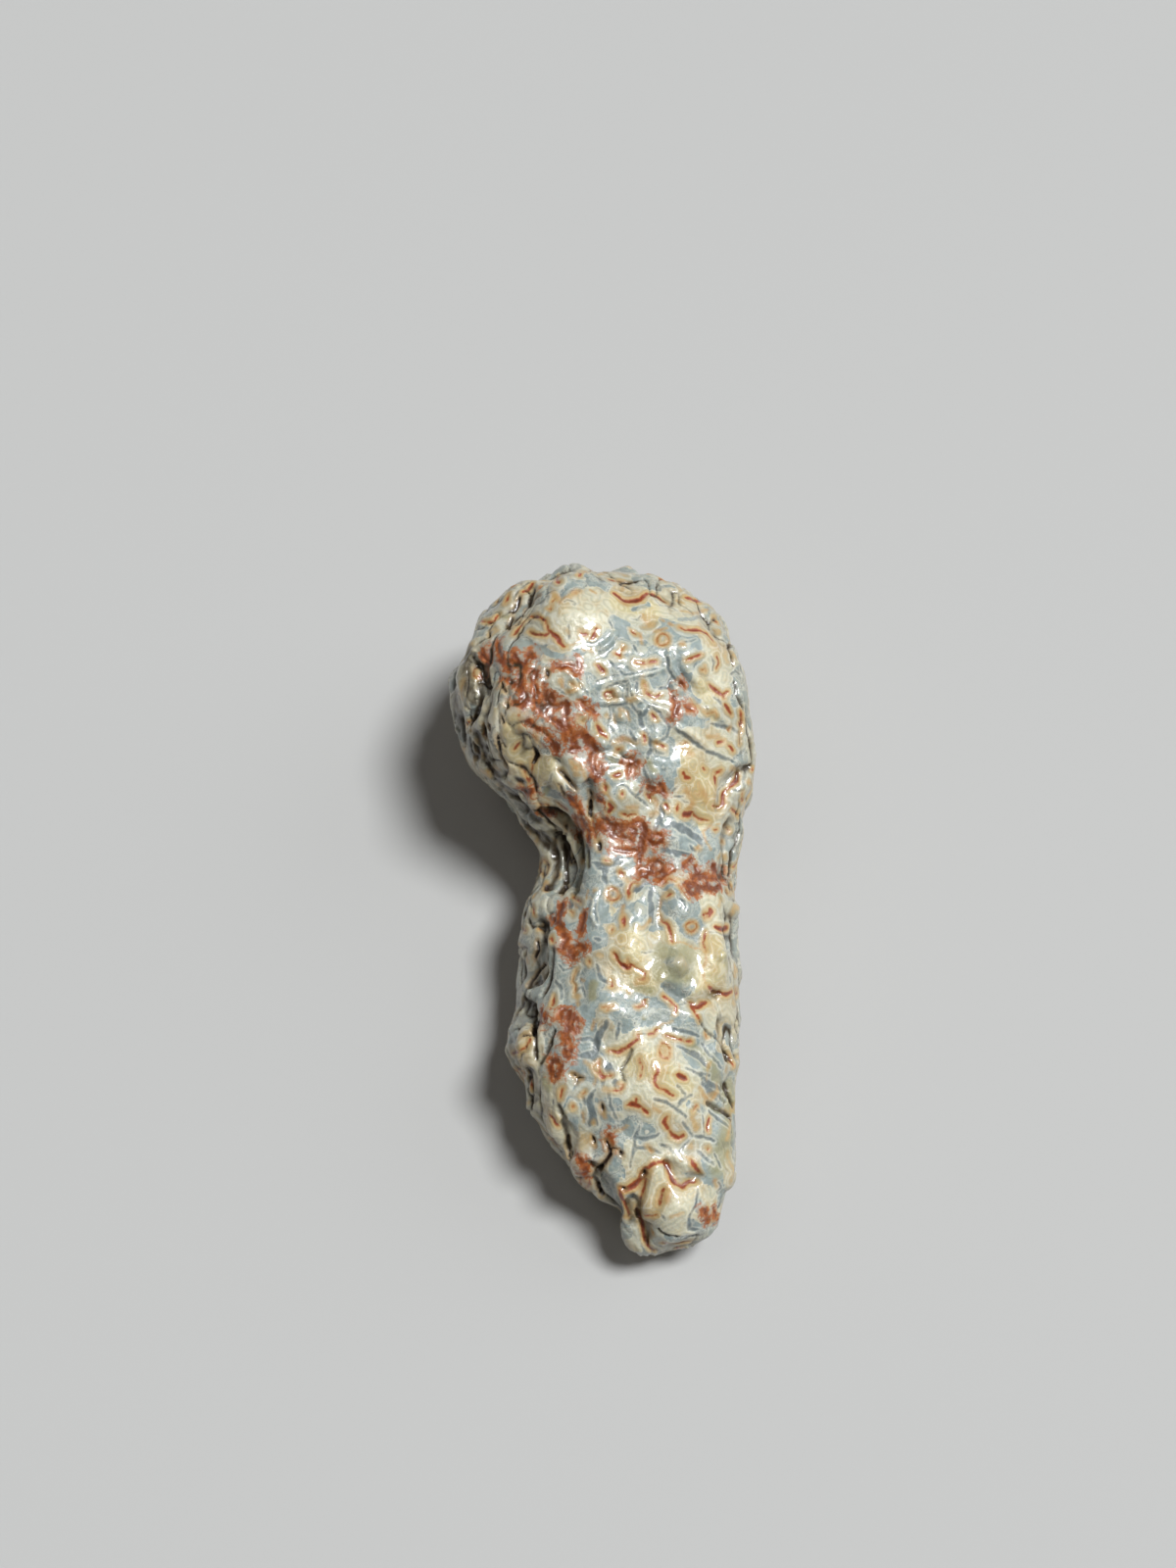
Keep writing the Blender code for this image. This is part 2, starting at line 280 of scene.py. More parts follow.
def fold_shape(across, up, line, half_width):
    """1 along the line, about a half at its half width, 0 beyond its reach, and narrower at both ends."""
    end_width, reach = 0.35, 1.8
    lengths = np.hypot(*np.diff(np.array(line), axis=0).T)
    total, done = lengths.sum(), 0.0
    best = np.full(len(across), np.inf)
    for (x0, y0), (x1, y1), length in zip(line, line[1:], lengths):
        dx, dy = x1 - x0, y1 - y0
        t = np.clip(((across - x0) * dx + (up - y0) * dy) / length**2, 0, 1)
        along = (done + t * length) / total
        taper = end_width + (1 - end_width) * np.sqrt(np.clip(4 * along * (1 - along), 0, 1))
        best = np.minimum(best, np.hypot(across - x0 - t * dx, up - y0 - t * dy) / (half_width * taper))
        done += length
    return (1 - np.clip(best / reach, 0, 1) ** 2) ** 2


def facing_share(normals):
    """1 where the skin faces the eye, 0 where it turns away."""
    return step_up(-0.15, 0.35, -normals[:, 1])


def flank_share(points, normals):
    """1 on the flanks and the back, where the skin is most folded, 0 on the face."""
    return 1 - step_up(0.35, 0.85, -normals[:, 1]) * step_up(-1.5, 0.5, points[:, 0] - FLANK_EDGE)


def relief(points, normals):
    """How far the skin stands out from the plain form at each point: the lumps and folds seen from afar."""
    wave_gain, swelling_fall = 1.6, 1.2
    across, away, up = points.T
    facing = facing_share(normals)
    height = LUMP_HEIGHT * waves(points / LUMP_WIDTH, seed=1) * (1 - FACE_CALM * facing)
    for x, z, half_width, half_height, rise in SWELLINGS:
        apart = ((across - x) / half_width) ** 2 + ((up - z) / half_height) ** 2
        height += facing * rise * np.exp(-swelling_fall * apart)
    stretched = np.stack([across / WRINKLE_WIDTH, away / WRINKLE_WIDTH, up / WRINKLE_RUN], axis=1)
    wrinkle = FACE_WRINKLE + (FLANK_WRINKLE - FACE_WRINKLE) * flank_share(points, normals)
    height += waves(stretched, seed=3) * wave_gain * wrinkle
    height += waves(points / KNOB_WIDTH, seed=4) * wave_gain * KNOB_HEIGHT
    for depth, half_width, line in FOLDS:
        height -= facing * depth * fold_shape(across, up, line, half_width)
    return height


skin = remeshed(plain_form(), "REMESH", mode="VOXEL", voxel_size=SKIN_STEP)
skin_points, skin_normals = points_and_normals(skin)
flank = flank_share(skin_points, skin_normals)
move_points(skin, skin_points + skin_normals * relief(skin_points, skin_normals)[:, None])
skin = remeshed(skin, "SMOOTH", factor=0.5, iterations=4)
skin_points, skin_normals = points_and_normals(skin)
base_points = skin_points.copy()

# Its marks, traced where the photograph shows them. Each is a half width and a line, both in photograph
# pixels, of which there are twenty to a millimetre. First, the red creases at the hearts of its islands.
RED_CREASES = (
    (1.2, ((611, 580), (598, 583), (590, 588))), (1.3, ((569, 589), (570, 596))),
    (1.6, ((544, 595), (540, 602), (533, 604))), (1.2, ((537, 632), (531, 640), (524, 649))),
    (0.9, ((508, 626), (504, 632), (500, 635), (490, 634))), (0.8, ((520, 606), (518, 612), (515, 616))),
    (0.9, ((540, 629), (550, 629), (558, 633), (561, 646))),
    (1.0, ((541, 645), (548, 648), (557, 649), (564, 645))), (2.0, ((562, 645), (570, 653), (577, 660))),
    (1.0, ((592, 644), (594, 648), (599, 647))), (1.7, ((609, 641), (607, 649), (604, 652))),
    (1.0, ((627, 667), (632, 668), (632, 671))), (0.6, ((636, 660), (632, 667))),
    (1.8, ((609, 678), (613, 683), (617, 687))), (1.0, ((620, 592), (632, 593), (641, 595))),
    (2.4, ((627, 606), (634, 612), (644, 614), (653, 612), (661, 605))),
    (1.9, ((661, 605), (669, 608), (676, 614), (680, 616))), (1.9, ((700, 610), (707, 613), (714, 614))),
    (1.6, ((693, 640), (700, 643), (712, 643), (722, 647), (727, 655))), (1.4, ((728, 630), (732, 636))),
    (1.2, ((643, 644), (648, 648))), (1.1, ((648, 676), (658, 678), (670, 675))),
    (1.3, ((700, 673), (707, 671), (717, 668))), (1.1, ((731, 671), (733, 678), (731, 683))),
    (1.6, ((724, 697), (729, 704), (737, 710))), (1.1, ((743, 705), (737, 710), (738, 713))),
    (1.3, ((739, 719), (743, 725), (746, 730))), (1.6, ((732, 758), (739, 756))),
    (1.6, ((743, 761), (748, 766))), (1.3, ((696, 788), (699, 793), (703, 794))),
    (1.2, ((717, 783), (720, 787))), (1.2, ((730, 789), (736, 786))), (1.9, ((729, 793), (730, 801))),
    (2.2, ((753, 789), (751, 798), (745, 803))), (1.5, ((745, 803), (739, 810), (737, 820))),
    (1.0, ((727, 822), (734, 823), (739, 820))), (1.1, ((768, 785), (769, 798))),
    (1.3, ((746, 825), (753, 831))), (1.2, ((747, 884), (752, 881))),
    (2.6, ((697, 834), (699, 831), (706, 830))), (1.2, ((706, 830), (712, 836), (722, 837))),
    (1.7, ((609, 740), (613, 747), (619, 752))), (1.0, ((656, 749), (657, 758))),
    (1.9, ((626, 792), (633, 789))), (0.9, ((657, 697), (658, 706), (668, 712), (675, 709))),
    (1.5, ((665, 730), (670, 734))), (1.0, ((530, 758), (525, 764))), (1.5, ((616, 802), (619, 808))),
    (1.6, ((622, 819), (625, 824), (621, 828))), (1.4, ((634, 808), (635, 811))),
    (1.0, ((634, 830), (641, 833), (648, 831))), (1.4, ((660, 810), (664, 815))),
    (1.4, ((679, 821), (681, 827))), (1.2, ((692, 821), (691, 828))),
    (1.0, ((604, 835), (606, 846), (609, 857))), (1.3, ((632, 889), (637, 895))),
    (0.6, ((637, 895), (643, 900), (652, 900))), (1.3, ((645, 901), (641, 908), (641, 916))),
    (1.2, ((675, 903), (682, 896), (690, 899))), (0.9, ((692, 903), (697, 911), (702, 918))),
    (0.8, ((684, 912), (679, 915))), (1.0, ((673, 934), (675, 939), (682, 943), (683, 950), (686, 961))),
    (1.6, ((636, 936), (637, 945))), (1.2, ((625, 947), (624, 951))),
    (1.0, ((719, 951), (717, 962), (720, 970))), (2.2, ((730, 946), (735, 949), (742, 947))),
    (1.4, ((626, 972), (630, 979), (634, 985))), (2.2, ((634, 985), (640, 987), (646, 986))),
    (0.9, ((641, 979), (642, 986))), (0.8, ((646, 986), (658, 993), (657, 999), (652, 1000))),
    (1.5, ((677, 1017), (684, 1022), (690, 1027))), (1.3, ((690, 1027), (688, 1034))),
    (2.0, ((704, 1024), (711, 1028), (721, 1023))), (1.1, ((704, 1025), (709, 1034), (714, 1042))),
    (1.9, ((722, 1006), (728, 1012), (737, 1014), (747, 1012))),
    (1.3, ((742, 1077), (745, 1083), (748, 1089))),
    (1.4, ((620, 1071), (630, 1074), (640, 1069), (651, 1061), (651, 1056))),
    (1.1, ((662, 1055), (667, 1054), (671, 1050))), (0.8, ((680, 1057), (690, 1060), (699, 1061))),
    (1.5, ((699, 1061), (706, 1062))), (1.5, ((670, 1086), (672, 1092), (669, 1098), (668, 1105))),
    (1.3, ((668, 1105), (672, 1110), (680, 1114), (688, 1118))), (2.7, ((691, 1097), (699, 1101))),
    (2.3, ((640, 1128), (648, 1127), (654, 1130))), (1.9, ((654, 1130), (661, 1135))),
    (1.1, ((648, 1121), (648, 1127))), (1.5, ((681, 1139), (678, 1146), (683, 1154))),
    (1.6, ((683, 1154), (684, 1159), (690, 1162), (697, 1158))),
    (1.5, ((724, 1141), (722, 1148), (723, 1153))), (1.4, ((721, 1172), (722, 1174))),
    (1.7, ((705, 1183), (710, 1192), (714, 1196))),
    (2.6, ((633, 1211), (638, 1214), (646, 1210), (654, 1202))), (3.6, ((654, 1202), (659, 1192))),
    (2.2, ((659, 1193), (664, 1188), (669, 1186))), (1.3, ((669, 1186), (677, 1184))),
    (2.7, ((677, 1184), (682, 1192), (685, 1202), (690, 1209))),
    (1.9, ((690, 1209), (696, 1211), (703, 1206), (710, 1206))),
    (1.1, ((678, 1213), (675, 1222), (673, 1230))), (0.9, ((661, 1236), (666, 1240), (670, 1239))),
    (1.0, ((659, 1202), (656, 1216), (655, 1230))), (1.9, ((632, 1214), (636, 1225), (642, 1240))),
    (1.7, ((649, 1232), (653, 1242), (656, 1255), (661, 1269), (668, 1277))),
    (1.1, ((676, 1267), (690, 1268), (704, 1266))), (1.3, ((721, 1232), (719, 1240))),
    (1.2, ((728, 1239), (727, 1243))), (1.3, ((561, 1137), (566, 1142), (570, 1150))),
    (0.9, ((541, 1093), (542, 1105), (543, 1112))), (1.2, ((574, 1111), (572, 1120))),
    (1.2, ((585, 1128), (586, 1131))), (1.4, ((576, 1182), (575, 1193))), (1.2, ((565, 1017), (564, 1026))),
    (1.2, ((601, 981), (602, 983))), (0.9, ((544, 925), (546, 934))), (0.9, ((532, 948), (537, 949))),
    (1.1, ((541, 1060), (537, 1068), (530, 1073), (523, 1075))), (1.1, ((568, 824), (574, 829))),
    (1.0, ((531, 780), (535, 787), (540, 799))), (0.8, ((544, 777), (543, 788), (540, 799))),
)
# Shreds of rust.
RUST_SHREDS = (
    (2.0, ((493, 664), (495, 676), (494, 690))), (2.2, ((500, 662), (499, 675), (496, 690))),
    (2.6, ((508, 657), (510, 668), (515, 676), (520, 684))), (1.6, ((515, 676), (523, 674), (528, 683))),
    (1.9, ((524, 667), (530, 677), (536, 684), (547, 684))), (0.8, ((541, 663), (536, 674), (534, 683))),
    (1.4, ((541, 664), (544, 671))), (2.3, ((546, 684), (544, 697), (548, 708), (546, 717))),
    (3.4, ((531, 688), (531, 700), (535, 711), (533, 721))), (1.2, ((512, 693), (522, 696), (530, 697))),
    (2.8, ((524, 718), (534, 717), (545, 717))), (2.0, ((555, 699), (557, 710), (561, 718), (569, 723))),
    (3.8, ((546, 716), (554, 724), (561, 719))), (1.5, ((562, 708), (565, 714))),
    (2.8, ((567, 722), (577, 718), (577, 732))), (1.8, ((577, 732), (578, 745), (576, 758))),
    (2.1, ((578, 740), (583, 752), (589, 762))), (3.3, ((584, 752), (594, 748), (601, 758), (608, 768))),
    (1.9, ((592, 764), (582, 764))), (4.2, ((563, 756), (568, 766))),
    (1.3, ((538, 733), (545, 742), (553, 746))), (1.4, ((553, 746), (560, 752), (564, 758))),
    (1.4, ((562, 733), (570, 738), (574, 744))), (2.8, ((605, 768), (604, 780), (610, 790))),
    (2.2, ((613, 780), (612, 790), (607, 796))), (1.8, ((593, 716), (598, 722), (607, 727))),
    (2.4, ((533, 806), (540, 810), (547, 804))), (2.4, ((580, 812), (586, 820), (593, 829))),
    (2.2, ((588, 834), (591, 844), (592, 853))), (1.6, ((594, 836), (597, 845), (592, 853))),
    (1.5, ((600, 847), (602, 858))), (1.6, ((610, 814), (614, 818))), (2.6, ((644, 774), (641, 790))),
    (1.6, ((638, 776), (650, 778), (646, 786))), (2.0, ((661, 803), (668, 805))),
    (2.0, ((673, 800), (678, 809))), (2.4, ((688, 711), (690, 722), (687, 731))),
    (2.6, ((700, 721), (707, 724))), (1.5, ((697, 699), (693, 695))),
    (2.0, ((568, 681), (578, 679), (590, 682))), (3.0, ((584, 684), (591, 686))),
    (1.8, ((590, 674), (592, 683))), (2.2, ((620, 841), (632, 843), (642, 842), (654, 838))),
    (3.8, ((654, 840), (658, 848), (656, 858), (653, 870))), (2.4, ((653, 866), (652, 879))),
    (2.0, ((650, 869), (640, 868), (626, 867))), (1.6, ((624, 846), (632, 856), (646, 858))),
    (1.4, ((666, 882), (662, 888), (655, 884))), (1.4, ((668, 891), (671, 898), (680, 892), (689, 887))),
    (1.5, ((698, 883), (706, 877))), (1.3, ((709, 884), (712, 889))),
    (1.8, ((706, 898), (713, 893), (722, 893))), (3.0, ((727, 883), (731, 890))),
    (1.6, ((731, 890), (737, 897), (739, 888))), (2.9, ((574, 922), (571, 932), (569, 941))),
    (1.7, ((561, 937), (569, 942))), (3.2, ((569, 941), (574, 950), (578, 958), (573, 968))),
    (2.6, ((596, 932), (594, 942), (592, 951))), (1.7, ((579, 973), (584, 968), (592, 966), (598, 969))),
    (1.6, ((590, 969), (584, 978))), (2.0, ((553, 1032), (552, 1045))), (1.6, ((558, 1033), (557, 1041))),
    (2.4, ((579, 1034), (579, 1048), (577, 1060))), (1.6, ((576, 1072), (579, 1080))),
    (1.9, ((562, 1082), (572, 1085))), (2.4, ((590, 1180), (597, 1191), (598, 1203))),
    (1.0, ((621, 1157), (622, 1165))), (2.0, ((717, 1234), (722, 1246))), (1.8, ((728, 1234), (731, 1244))),
    (2.0, ((620, 1160), (624, 1170))), (1.6, ((550, 826), (557, 831), (563, 829))),
)
# Small rings of rust: half width, centre, reach across and down.
RUST_RINGS = (
    (1.7, (617, 842), (5, 6)), (1.8, (717, 900), (6, 6)), (1.9, (707, 906), (6, 6)),
    (1.5, (728, 902), (6, 6)), (1.4, (641, 850), (8, 6)), (1.7, (669, 884), (7, 5)),
    (1.2, (656, 889), (4, 5)), (1.6, (668, 856), (8, 5)), (1.4, (629, 849), (5, 6)),
    (1.4, (567, 1091), (5, 9)), (1.5, (576, 1035), (5, 5)), (1.3, (579, 1069), (3, 9)),
    (1.3, (586, 1046), (4, 8)),
)
# Small brown rings apart from them, in the same terms.
BROWN_RINGS = (
    (0.7, (676, 653), (6, 6)), (0.8, (489, 686), (5, 7)), (0.8, (555, 885), (4, 7)),
    (0.7, (625, 913), (6, 6)), (0.6, (705, 946), (6, 5)), (0.8, (678, 1072), (6, 8)),
    (0.8, (529, 1098), (5, 7)), (1.0, (597, 1204), (5, 8)), (0.8, (556, 826), (6, 5)),
)
# Pits and slits that gape, painted near black inside as shade.
DARK_SLITS = (
    (1.8, ((531, 609), (527, 618), (523, 625))),
    (0.9, ((551, 608), (545, 613), (537, 622), (530, 634), (521, 643))),
    (0.8, ((521, 643), (519, 640), (523, 630))), (1.7, ((558, 683), (559, 690))),
    (1.6, ((511, 698), (513, 702), (516, 706))), (1.4, ((516, 717), (518, 722))),
    (1.0, ((511, 731), (514, 738))), (2.2, ((497, 737), (499, 742), (498, 748))),
    (1.9, ((508, 752), (509, 762), (511, 771))), (1.9, ((511, 771), (514, 778), (519, 788))),
    (2.3, ((545, 764), (548, 770), (545, 778))), (1.8, ((571, 785), (577, 791), (583, 799), (588, 806))),
    (1.2, ((602, 806), (604, 815))), (2.1, ((603, 816), (602, 826), (602, 834))),
    (2.5, ((611, 859), (612, 867))), (1.1, ((578, 841), (579, 847))),
    (1.0, ((571, 800), (574, 808), (576, 812))), (1.3, ((578, 864), (581, 873), (583, 881))),
    (1.9, ((585, 874), (588, 879))), (2.6, ((557, 901), (557, 908))), (2.1, ((578, 903), (575, 912))),
    (2.0, ((535, 922), (536, 932), (531, 940))), (1.7, ((548, 960), (549, 969), (546, 977))),
    (1.1, ((557, 984), (548, 993), (538, 1005))), (2.6, ((546, 1045), (545, 1054))),
    (1.5, ((563, 1063), (563, 1066))), (1.0, ((531, 1058), (537, 1056), (543, 1055))),
    (1.4, ((584, 1096), (589, 1099), (594, 1100))), (1.1, ((589, 1099), (588, 1105))),
    (1.6, ((614, 1127), (615, 1135))), (1.6, ((605, 1160), (606, 1167))),
    (2.3, ((617, 1163), (621, 1171), (622, 1178), (617, 1187), (611, 1193))),
    (1.6, ((622, 1172), (629, 1173))), (2.4, ((632, 1175), (635, 1180))),
    (2.3, ((610, 1209), (614, 1221), (619, 1231))), (1.8, ((634, 1212), (638, 1214))),
    (1.3, ((580, 1160), (579, 1172), (582, 1187))), (1.7, ((656, 1199), (658, 1195))),
)
# Folds stained brown and olive, soft at the edges. The broad ones down the left flank and the one beside the
# nose are partly painted shade.
BROWN_AND_SHADED_FOLDS = (
    (10.0, ((464, 672), (460, 690), (464, 712), (466, 730), (474, 748), (484, 766))),
    (8.0, ((475, 668), (474, 684), (477, 700), (482, 715))),
    (3.6, ((490, 698), (492, 712), (487, 726), (484, 738))),
    (5.0, ((486, 748), (494, 766), (502, 784), (516, 804))), (5.0, ((516, 804), (532, 822), (548, 836))),
    (2.6, ((548, 828), (560, 840), (572, 848), (577, 856))), (5.0, ((530, 836), (545, 850), (556, 862))),
    (3.4, ((538, 850), (543, 868), (545, 886), (544, 904))),
    (4.0, ((554, 852), (564, 864), (569, 880), (561, 906))),
    (2.2, ((577, 852), (577, 866), (578, 886), (579, 900))), (2.4, ((596, 856), (600, 870), (600, 884))),
    (1.8, ((591, 853), (596, 862), (597, 874))), (2.6, ((564, 968), (563, 985), (560, 1000), (555, 1012))),
    (3.4, ((540, 1006), (536, 1020), (528, 1033))),
    (2.0, ((547, 1028), (547, 1042), (546, 1058), (547, 1080))),
    (1.8, ((566, 1052), (560, 1070), (552, 1086))),
    (2.4, ((570, 1128), (575, 1140), (578, 1156), (581, 1170))),
    (2.6, ((612, 1192), (607, 1200), (610, 1208))), (4.5, ((641, 1226), (645, 1246))),
    (2.8, ((649, 1236), (651, 1240))), (1.6, ((755, 832), (756, 845), (753, 858), (746, 870), (744, 892))),
    (1.5, ((750, 697), (752, 710), (758, 723))), (1.5, ((761, 733), (763, 748), (766, 766), (764, 782))),
    (1.5, ((743, 650), (743, 662), (748, 678))), (2.0, ((540, 1100), (538, 1112), (543, 1130))),
    (2.0, ((740, 1106), (744, 1118), (748, 1130))), (2.4, ((722, 1126), (734, 1132), (746, 1140))),
    (1.2, ((637, 1088), (634, 1092), (637, 1102))), (1.6, ((644, 1072), (640, 1082), (635, 1090))),
    (1.2, ((714, 1042), (722, 1054), (735, 1068), (741, 1076))),
    (1.4, ((672, 1254), (680, 1260), (692, 1262))), (2.2, ((752, 1030), (754, 1046), (756, 1066))),
)
# Amber stains, soft at the edges.
AMBER_STAINS = (
    (3.4, ((564, 606), (572, 614), (580, 609), (592, 603))), (1.6, ((603, 603), (608, 606))),
    (1.0, ((579, 659), (587, 657), (591, 651))), (1.0, ((637, 597), (634, 604))),
    (2.2, ((632, 614), (640, 618))), (3.0, ((656, 630), (662, 637))), (1.6, ((675, 633), (677, 634))),
    (2.4, ((683, 636), (686, 638))), (1.8, ((668, 645), (680, 641))), (2.0, ((653, 648), (655, 657))),
    (1.4, ((690, 613), (698, 617))), (1.8, ((695, 624), (706, 626), (722, 622))),
    (1.8, ((742, 650), (743, 662), (748, 678))), (2.2, ((573, 695), (574, 701))),
    (2.6, ((590, 730), (588, 740))), (2.0, ((626, 730), (627, 738))),
    (2.0, ((633, 724), (640, 726), (642, 734))), (3.0, ((626, 758), (636, 754), (648, 758))),
    (2.2, ((655, 690), (657, 704))), (3.6, ((706, 716), (712, 722))), (3.4, ((694, 761), (706, 769))),
    (2.6, ((722, 752), (733, 751))), (3.2, ((746, 784), (753, 785))),
    (1.6, ((617, 808), (624, 816), (628, 822))), (2.6, ((640, 824), (650, 824))),
    (3.0, ((668, 816), (672, 824))), (3.2, ((700, 806), (708, 818), (702, 826))),
    (3.0, ((716, 806), (720, 818))), (0.8, ((722, 837), (730, 840), (739, 843))),
    (1.4, ((717, 849), (720, 858), (725, 866))), (1.4, ((726, 842), (718, 848))),
    (2.0, ((636, 924), (634, 946))), (0.9, ((686, 961), (697, 962), (705, 967), (716, 968))),
    (1.6, ((720, 970), (721, 980), (717, 991), (719, 1003))), (1.8, ((702, 900), (690, 897))),
    (2.6, ((726, 906), (724, 912))), (1.6, ((675, 915), (672, 932))), (2.6, ((650, 1004), (660, 1000))),
    (1.6, ((586, 923), (589, 927))), (1.4, ((600, 908), (599, 917))), (1.6, ((594, 999), (596, 1001))),
    (1.8, ((589, 1016), (590, 1026))), (1.6, ((607, 1042), (604, 1050))), (2.4, ((584, 1096), (592, 1101))),
    (2.2, ((597, 1083), (602, 1087))), (1.8, ((608, 1098), (606, 1106))), (2.6, ((604, 1160), (607, 1170))),
    (2.2, ((595, 1136), (596, 1144))), (2.2, ((615, 1130), (617, 1140))),
    (1.4, ((670, 1052), (675, 1045), (686, 1042))), (1.8, ((678, 1068), (679, 1076))),
    (1.0, ((678, 1093), (690, 1098))), (1.0, ((692, 1086), (693, 1095))), (2.2, ((667, 1131), (674, 1134))),
    (2.0, ((713, 1110), (719, 1120))), (2.6, ((706, 1140), (710, 1150))), (1.8, ((700, 1180), (706, 1186))),
    (2.0, ((640, 1148), (634, 1153), (626, 1154))), (3.0, ((730, 1205), (732, 1210))),
    (4.0, ((634, 1216), (650, 1210), (662, 1196))), (3.0, ((679, 1192), (684, 1206), (680, 1226))),
    (1.2, ((684, 1241), (696, 1238))), (2.0, ((636, 1240), (643, 1243))), (2.6, ((530, 964), (534, 968))),
    (2.0, ((556, 900), (557, 910))), (2.4, ((530, 732), (531, 748))), (2.4, ((545, 748), (552, 762))),
    (2.4, ((588, 774), (594, 784), (598, 794))), (1.4, ((554, 812), (560, 816))),
    (1.0, ((548, 972), (545, 984))),
)
